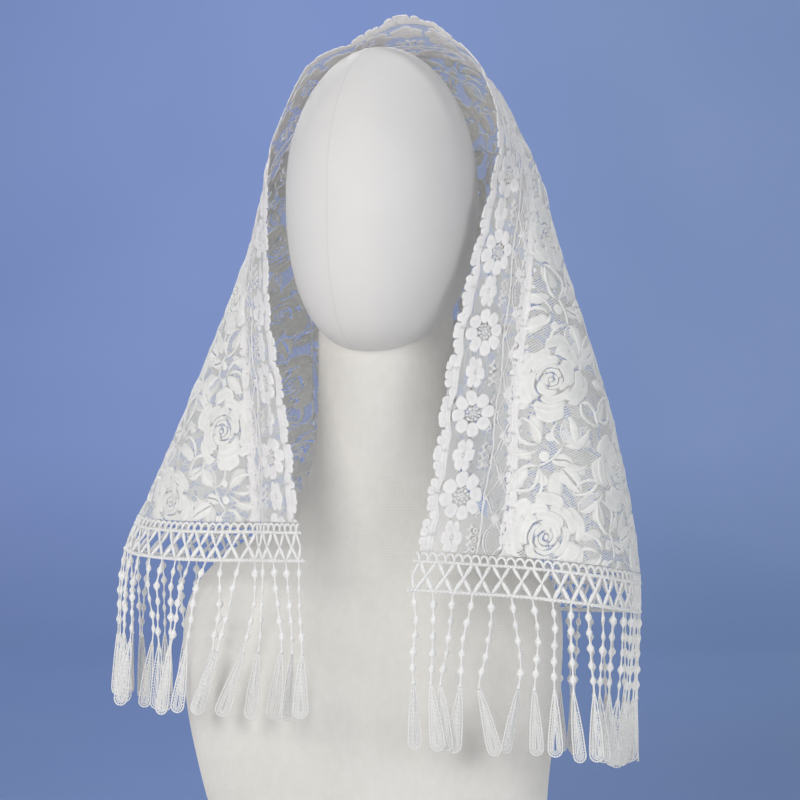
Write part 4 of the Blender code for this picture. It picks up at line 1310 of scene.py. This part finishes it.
# how far each front strand hangs to the viewer's right of where it is tied, in
# millimetres, at these depths below the lattice
SWAY_DEPTHS = (0, 9, 20, 33, 46, 58, 70, 121)
SWAY = {
    "right": (
        (0, 0.5, 2.2, 1.5, -0.3, -0.3, 0.3, 1.3), (0, 0.2, 0, -0.3, -0.8, -1.3, -2.2, 4.0),
        (0, -0.6, -1.6, -3.4, -5, -8, -10, -4.4), (0, -1, -3.8, -6.9, -8.1, -8.5, -9, -14),
        (0, 0.4, 0.4, -1.9, -3.8, -7.5, -9.6, 4.4), (0, 1.2, 3.1, 5, 6.9, 6.9, 5.3, -5),
        (0, 1.6, 3.4, 4.1, 2.9, 2.1, 1, 3.5), (0, 1, 2.2, 1.6, 1, 1.2, 1.6, 2.2),
        (0, 0, 0, 0.4, 1.2, 1.6, 1.9, 7.5), (0, 0.6, 1.3, 2.5, 3.1, 5, 5.6, 7.0),
        (0, 0.4, 0.8, 0.4, -0.6, -1.2, -1.6, 0.6), (0, -0.5, -1.2, -2.0, -2.4, -3.0, -3.2, -1.0),
        (0, -0.6, -1.4, -2.2, -3.4, -4.6, -5.6, -11.0), (0, -0.7, -1.8, -3.0, -4.2, -5.4, -6.4, -12.5),
        (0, -0.5, -1.5, -2.8, -4.0, -5.2, -6.0, -11.0), (0, -0.6, -1.5, -2.6, -3.6, -4.8, -5.8, -12.0),
        (0, -0.4, -1.2, -2.2, -3.2, -4.2, -5.2, -9.0), (0, -0.3, -1.0, -2.0, -3.0, -4.0, -4.8, -7.5),
    ),
    "left": (
        (0, 0.3, 0.8, 1.5, 2.2, 3, 3.5, 1), (0, 0.5, 1.5, 2.5, 3.6, 5, 4.5, 0),
        (0, 0.6, 1.5, 3, 4.5, 6.5, 6, -1), (0, 0, 0, -1.2, -1.4, -1.8, -3.8, -10),
        (0, 0, 0.3, -0.6, -3.2, -6, -8.8, -28), (0, -2.3, -5, -7, -10.8, -14, -17, -35),
        (0, -1.8, -1.4, -1.2, -2.3, -5.6, -6.5, -22), (0, -3.5, -7.3, -9.6, -10.6, -12.7, -14.7, -23.5),
        (0, -3, -7.6, -10, -11.4, -13.8, -16.5, -23), (0, -1.8, -3.8, -3.8, -3.5, -4.1, -4.7, -9),
        (0, -1.8, -4.7, -3, -3, -3, -1.8, -5), (0, -0.6, -1.2, 0.6, 3.5, 4.5, 3, -4.7),
        (0, -1.8, -4.4, -5, -5, -5.3, -6.5, -16),
        (0, -1.2, -2.6, -3.4, -3.8, -4.2, -4.6, -5.0), (0, -0.9, -2.2, -3.2, -3.8, -4.0, -4.0, -1.5),
        (0, -1.4, -3.0, -3.6, -3.8, -4.2, -4.4, -6.5), (0, -0.8, -2.0, -2.6, -3.2, -3.6, -3.8, -3.0),
    ),
}
KNOT_DEPTHS = (8.6, 20.8, 33.0, 45.3, 57.5)
KNOT_SHAPE = ((-4.0, 0.78), (-2.4, 1.9), (-0.9, 3.15), (0.9, 3.15), (2.4, 1.9), (4.0, 0.78))


def strand(pile, side, k, rng):
    t = np.array([NODE_T[k]])
    base, out = hem(side, t, np.array([31.4 * MM]))[0], hem_out(side, t)[0]
    run = np.cross(out, (0.0, 0.0, 1.0)) * (-1.0 if side == "right" else 1.0)
    table = SWAY[side]
    if k < len(table):
        across, row = SIDEWAYS, np.array(table[k])
    else:
        lean = 5.0 * math.sin(k * 1.9) + rng.uniform(-2.5, 2.5)
        across = run
        row = np.array((0, 0.12, 0.3, 0.5, 0.68, 0.85, 1.0, 1.0 + rng.uniform(-0.7, 0.9))) * lean
        row[2:6] += rng.uniform(-1.3, 1.3, 4)
    bulge = rng.uniform(-1.6, 1.8)
    hang = rng.uniform(0.985, 1.0)

    def at(depth):
        depth = np.asarray(depth, float)
        side_way = np.interp(depth, SWAY_DEPTHS, row)
        for shift in (-4, 4):          # rounds the corners of the table
            side_way = side_way + np.interp(np.clip(depth + shift, 0, 121), SWAY_DEPTHS, row)
        side_way = side_way / 3 * (depth > 0)
        return (base + np.outer(side_way * MM, across) - np.outer(depth * MM * hang, (0, 0, 1))
                + np.outer(bulge * MM * np.sin(depth / 121 * math.pi), out))

    depths, width, turn = [0.0], [0.85], [0.0]
    angle = rng.uniform(-0.5, 0.5)
    for kd in KNOT_DEPTHS:
        kd = kd + rng.uniform(-0.6, 0.6)
        big = rng.uniform(0.86, 1.06)
        angle = rng.normal(0, 0.55)
        for dd, w in KNOT_SHAPE:
            depths.append(kd + dd)
            width.append(0.78 + (w - 0.78) * big)
            turn.append(angle)
    depths += [66.0, 68.3, 70.2]
    width += [0.78, 1.3, 2.0]
    turn += [angle, 0.0, 0.0]
    turn = np.array(turn)[:, None]
    path = at(np.array(depths))
    facing = out * np.cos(turn) + run * np.sin(turn)
    width = np.array(width) * MM
    sweep(pile, path, facing, width, 0.50 * MM + 0.38 * (width - 0.6 * MM), 6, 1.0)
    # the loop: three lines of cord down one side and up the other, with bars between
    top, tip = at(np.array([69.6]))[0], at(np.array([121.0 + rng.uniform(-2.5, 0.0)]))[0]
    down = tip - top
    length = np.linalg.norm(down) / MM
    down = down / np.linalg.norm(down)
    swing = rng.normal(0, 0.38)
    c = across * math.cos(swing) + np.cross(down, across) * math.sin(swing)
    c = unit(c - down * (c @ down))
    n = np.cross(c, down)
    full = rng.uniform(4.7, 5.7)
    straight = length - full

    def outline(inset, points=9):
        y = np.linspace(0.0, 1.0, points)
        w = np.interp(y, (0, 0.1, 0.3, 0.6, 0.85, 1.0), (0.9, 1.6, 2.9, 4.3, full - 0.2, full))
        w = np.maximum(w - inset, 0.30)
        a = np.linspace(0, math.pi, 8)[1:-1]
        r = max(0.4, full - inset)
        x = np.concatenate([-w, -r * np.cos(a), w[::-1]])
        z = np.concatenate([y * straight, straight + r * np.sin(a), (y * straight)[::-1]])
        return x, z

    lines = []
    for inset, rod in ((0.0, 0.66), (1.9, 0.52), (3.1, 0.50), (4.2, 0.50)):
        x, z = outline(inset)
        pts = top + np.outer(x * MM, c) + np.outer(z * MM, down) + np.outer((0.5 - inset * 0.15) * MM * np.sin(z / length * math.pi), n)
        lines.append(pts)
        sweep(pile, pts, n, rod * MM, rod * 0.8 * MM, 4, 1.0)
    a, b = lines[0], lines[1]
    seg = np.concatenate([[0], np.cumsum(np.linalg.norm(np.diff(a, axis=0), axis=1))])
    for q in np.arange(0.012, seg[-1] - 0.012, 0.0023):
        i = min(len(seg) - 2, int(np.searchsorted(seg, q) - 1))
        f = (q - seg[i]) / (seg[i + 1] - seg[i])
        p0, p1 = a[i] * (1 - f) + a[i + 1] * f, b[i] * (1 - f) + b[i + 1] * f
        sweep(pile, np.stack([p0, p1]), n, 0.34 * MM, 0.30 * MM, 4, 0.9)


for side in ("left", "right"):
    rng = np.random.default_rng(31 if side == "left" else 32)
    pile = Pile()
    for k in range(STRANDS):
        strand(pile, side, k, rng)
    pile.mesh("fringe_cords_" + side, CORD, "fringe_" + side)

# ------------------------------------------------------------ the bust
HEAD_HALF_X, HEAD_HALF_Y, HEAD_TOP, HEAD_CHIN, HEAD_WIDEST = 0.0760, 0.0950, 0.6620, 0.4160, 0.5450
HEAD_CHIN_LEAN, HEAD_JAW_POWER = -0.022, 2.3
TORSO_COLUMNS = ("up", "half_x", "half_y", "centre_x", "centre_y", "power")
TORSO = (
    (0.0000, 0.1300, 0.0800, 0.0000, 0.0000, 2.3), (0.0300, 0.1320, 0.0820, -0.0020, 0.0010, 2.3),
    (0.0800, 0.1405, 0.0850, -0.0075, 0.0020, 2.3), (0.1300, 0.1495, 0.0860, -0.0102, 0.0040, 2.3),
    (0.1800, 0.1540, 0.0850, -0.0105, 0.0060, 2.3), (0.2200, 0.1500, 0.0800, -0.0095, 0.0080, 2.3),
    (0.2480, 0.1330, 0.0720, -0.0072, 0.0100, 2.2), (0.2700, 0.1045, 0.0660, -0.0048, 0.0120, 2.1),
    (0.2900, 0.0795, 0.0600, -0.0026, 0.0130, 2.0), (0.3160, 0.0630, 0.0560, -0.0008, 0.0130, 2.0),
    (0.3500, 0.0560, 0.0560, 0.0000, 0.0120, 2.0), (0.4000, 0.0540, 0.0560, 0.0000, 0.0120, 2.0),
    (0.4560, 0.0540, 0.0560, 0.0000, 0.0120, 2.0),
)


def from_bmesh(bm, name, mat, node_name):
    me = bpy.data.meshes.new(name)
    bmesh.ops.recalc_face_normals(bm, faces=bm.faces)
    bm.to_mesh(me)
    bm.free()
    me.shade_smooth()
    me.materials.append(mat)
    ob = bpy.data.objects.new(name, me)
    bpy.context.scene.collection.objects.link(ob)
    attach(ob, "root")
    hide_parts(node_name)
    return ob


bm = bmesh.new()
bmesh.ops.create_uvsphere(bm, u_segments=96, v_segments=64, radius=1.0)
for v in bm.verts:
    x, y, z = v.co
    narrow, lean = 1.0, 0.0
    if z >= 0:
        up = HEAD_WIDEST + (HEAD_TOP - HEAD_WIDEST) * z
    else:
        up = HEAD_WIDEST + (HEAD_WIDEST - HEAD_CHIN) * z
        narrow = ((1.0 - min(1.0, -z) ** HEAD_JAW_POWER) ** (1.0 / HEAD_JAW_POWER)
                  / max(1e-6, math.sqrt(max(0.0, 1.0 - z * z))))
        lean = HEAD_CHIN_LEAN * z * z
    v.co = Vector((x * HEAD_HALF_X * narrow, y * HEAD_HALF_Y * narrow + lean, up))
bust_head = from_bmesh(bm, "bust_head_cover", HEAD, "form_head")

bm = bmesh.new()
rows = np.array(TORSO)
ups = np.concatenate([np.linspace(0.0, 0.456, 58)])
shape = through(rows, ups)
rings = []
for up, (hx, hy, cx, cy, pw) in zip(ups, shape):
    a = np.arange(96) * 2 * math.pi / 96
    c, d = np.cos(a), np.sin(a)
    x = np.sign(c) * np.abs(c) ** (2 / pw) * hx + cx
    y = np.sign(d) * np.abs(d) ** (2 / pw) * hy + cy
    rings.append([bm.verts.new((float(p), float(q), float(up))) for p, q in zip(x, y)])
for lo, hi in zip(rings, rings[1:]):
    for i in range(96):
        bm.faces.new((lo[i], lo[(i + 1) % 96], hi[(i + 1) % 96], hi[i]))
bm.faces.new(rings[0][::-1])
bm.faces.new(rings[-1])
bust_torso = from_bmesh(bm, "bust_torso_canvas", CANVAS, "form_torso")

# ------------------------------------------------------------ stage, light, camera
FORWARD = np.array((-math.sin(CAMERA_TURN), math.cos(CAMERA_TURN), 0.0))


def stage_paper():
    m, nt, b = new_material("studio_paper")
    geo = node(nt, "ShaderNodeTexCoord")
    sep = nt.nodes.new("ShaderNodeSeparateXYZ")
    link(nt, geo.outputs["Object"], sep.inputs[0])
    fac = ramp(nt, sep.outputs["Y"], 0.22, 0.35)
    noise = node(nt, "ShaderNodeTexNoise", Scale=1.3, Detail=2.0)
    link(nt, geo.outputs["Object"], noise.inputs["Vector"])
    blue = mix_colour(nt, ramp(nt, noise.outputs["Fac"], 0.3, 0.7), (0.220, 0.300, 0.570), (0.250, 0.330, 0.600))
    # painted shade: the blue paper's colour is darker toward the floor, lightening up to 0.3 m
    low = mix_colour(nt, ramp(nt, sep.outputs["Z"], 0.0, 0.30), (0.76, 0.80, 0.80), (1.0, 1.0, 1.0))
    shaded = nt.nodes.new("ShaderNodeMix")
    shaded.data_type, shaded.blend_type = "RGBA", "MULTIPLY"
    shaded.inputs[0].default_value = 1.0
    link(nt, blue.outputs[2], shaded.inputs[6])
    link(nt, low.outputs[2], shaded.inputs[7])
    # painted shade: the blue paper darker and a little yellower toward +X
    side_painted_shade = mix_colour(nt, ramp(nt, sep.outputs["X"], -0.10, 0.50), (1.0, 1.0, 1.0), (0.91, 0.93, 0.85))
    paper = nt.nodes.new("ShaderNodeMix")
    paper.data_type, paper.blend_type = "RGBA", "MULTIPLY"
    paper.inputs[0].default_value = 1.0
    link(nt, shaded.outputs[2], paper.inputs[6])
    link(nt, side_painted_shade.outputs[2], paper.inputs[7])
    col = mix_colour(nt, fac, (0.80, 0.80, 0.80), (0, 0, 0))
    link(nt, paper.outputs[2], col.inputs[7])
    link(nt, col.outputs[2], b.inputs["Base Color"])
    b.inputs["Roughness"].default_value = 0.95
    b.inputs["Specular IOR Level"].default_value = 0.0
    return m


bm = bmesh.new()
profile = [(-3.2, 0.0), (0.3, 0.0), (1.1, 0.0), (1.9, 0.0)]
profile += [(1.9 + 1.8 * math.sin(a), 1.8 - 1.8 * math.cos(a)) for a in np.radians(np.arange(6, 91, 6))]
profile += [(3.7, 2.2), (3.7, 3.6)]
cols = (-3.0, -1.0, 0.0, 1.0, 3.0)
grid = [[bm.verts.new((float(x), float(y), float(z))) for x in cols] for y, z in profile]
for lo, hi in zip(grid, grid[1:]):
    for i in range(len(cols) - 1):
        bm.faces.new((lo[i], lo[i + 1], hi[i + 1], hi[i]))
me = bpy.data.meshes.new("studio_sweep")
bm.to_mesh(me)
bm.free()
me.shade_smooth()
me.materials.append(stage_paper())
sweep_stage = bpy.data.objects.new("studio_sweep", me)
sweep_stage.rotation_euler = (0, 0, CAMERA_TURN)
bpy.context.scene.collection.objects.link(sweep_stage)
sweep_stage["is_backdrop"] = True


def area_light(name, at, to, size, power, colour=(1, 1, 1), spread=180):
    data = bpy.data.lights.new(name, "AREA")
    data.spread = math.radians(spread)
    data.shape, data.size, data.energy, data.color = "DISK", size, power, colour
    ob = bpy.data.objects.new(name, data)
    ob.location = at
    ob.rotation_mode = "QUATERNION"
    ob.rotation_quaternion = (Vector(to) - Vector(at)).to_track_quat("-Z", "Y")
    bpy.context.scene.collection.objects.link(ob)
    return ob


area_light("key", (-0.75, -2.55, 1.35), (0, 0, 0.40), 1.5, 37, (1.0, 0.980, 0.948))
area_light("fill", (2.2, -1.6, 0.8), (0, 0, 0.35), 1.8, 20, (0.96, 0.98, 1.0))
area_light("left_fill", (-2.3, -1.1, 0.7), (0, 0, 0.30), 1.6, 9, (0.97, 0.98, 1.0))
area_light("paper_light", (0.3, 0.9, 2.6), (-0.6, 3.4, 0.9), 1.8, 60, (1.0, 1.0, 1.0))
area_light("back_light", (-0.6, 1.5, 1.25), (0, 0, 0.45), 0.9, 2.2, (1.0, 0.97, 0.92), 50)

world = bpy.data.worlds.new("studio_air")
bpy.context.scene.world = world
world.use_nodes = True
sky = world.node_tree.nodes["Background"]
sky.inputs["Color"].default_value = (0.86, 0.90, 1.0, 1)
sky.inputs["Strength"].default_value = 0.26

cam = bpy.data.objects.new("camera", bpy.data.cameras.new("camera"))
cam.data.lens, cam.data.sensor_width = 112.5, 36.0
cam.data.clip_start, cam.data.clip_end = 0.05, 40.0
spot = 0.014 * SIDEWAYS + np.array((0, 0, 0.38)) - 2.0 * FORWARD
cam.location = Vector(spot.tolist())
cam.rotation_mode = "QUATERNION"
cam.rotation_quaternion = Vector(FORWARD.tolist()).to_track_quat("-Z", "Y")
bpy.context.scene.collection.objects.link(cam)
bpy.context.scene.camera = cam
bpy.context.scene.view_settings.view_transform = "Standard"

lo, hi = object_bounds()
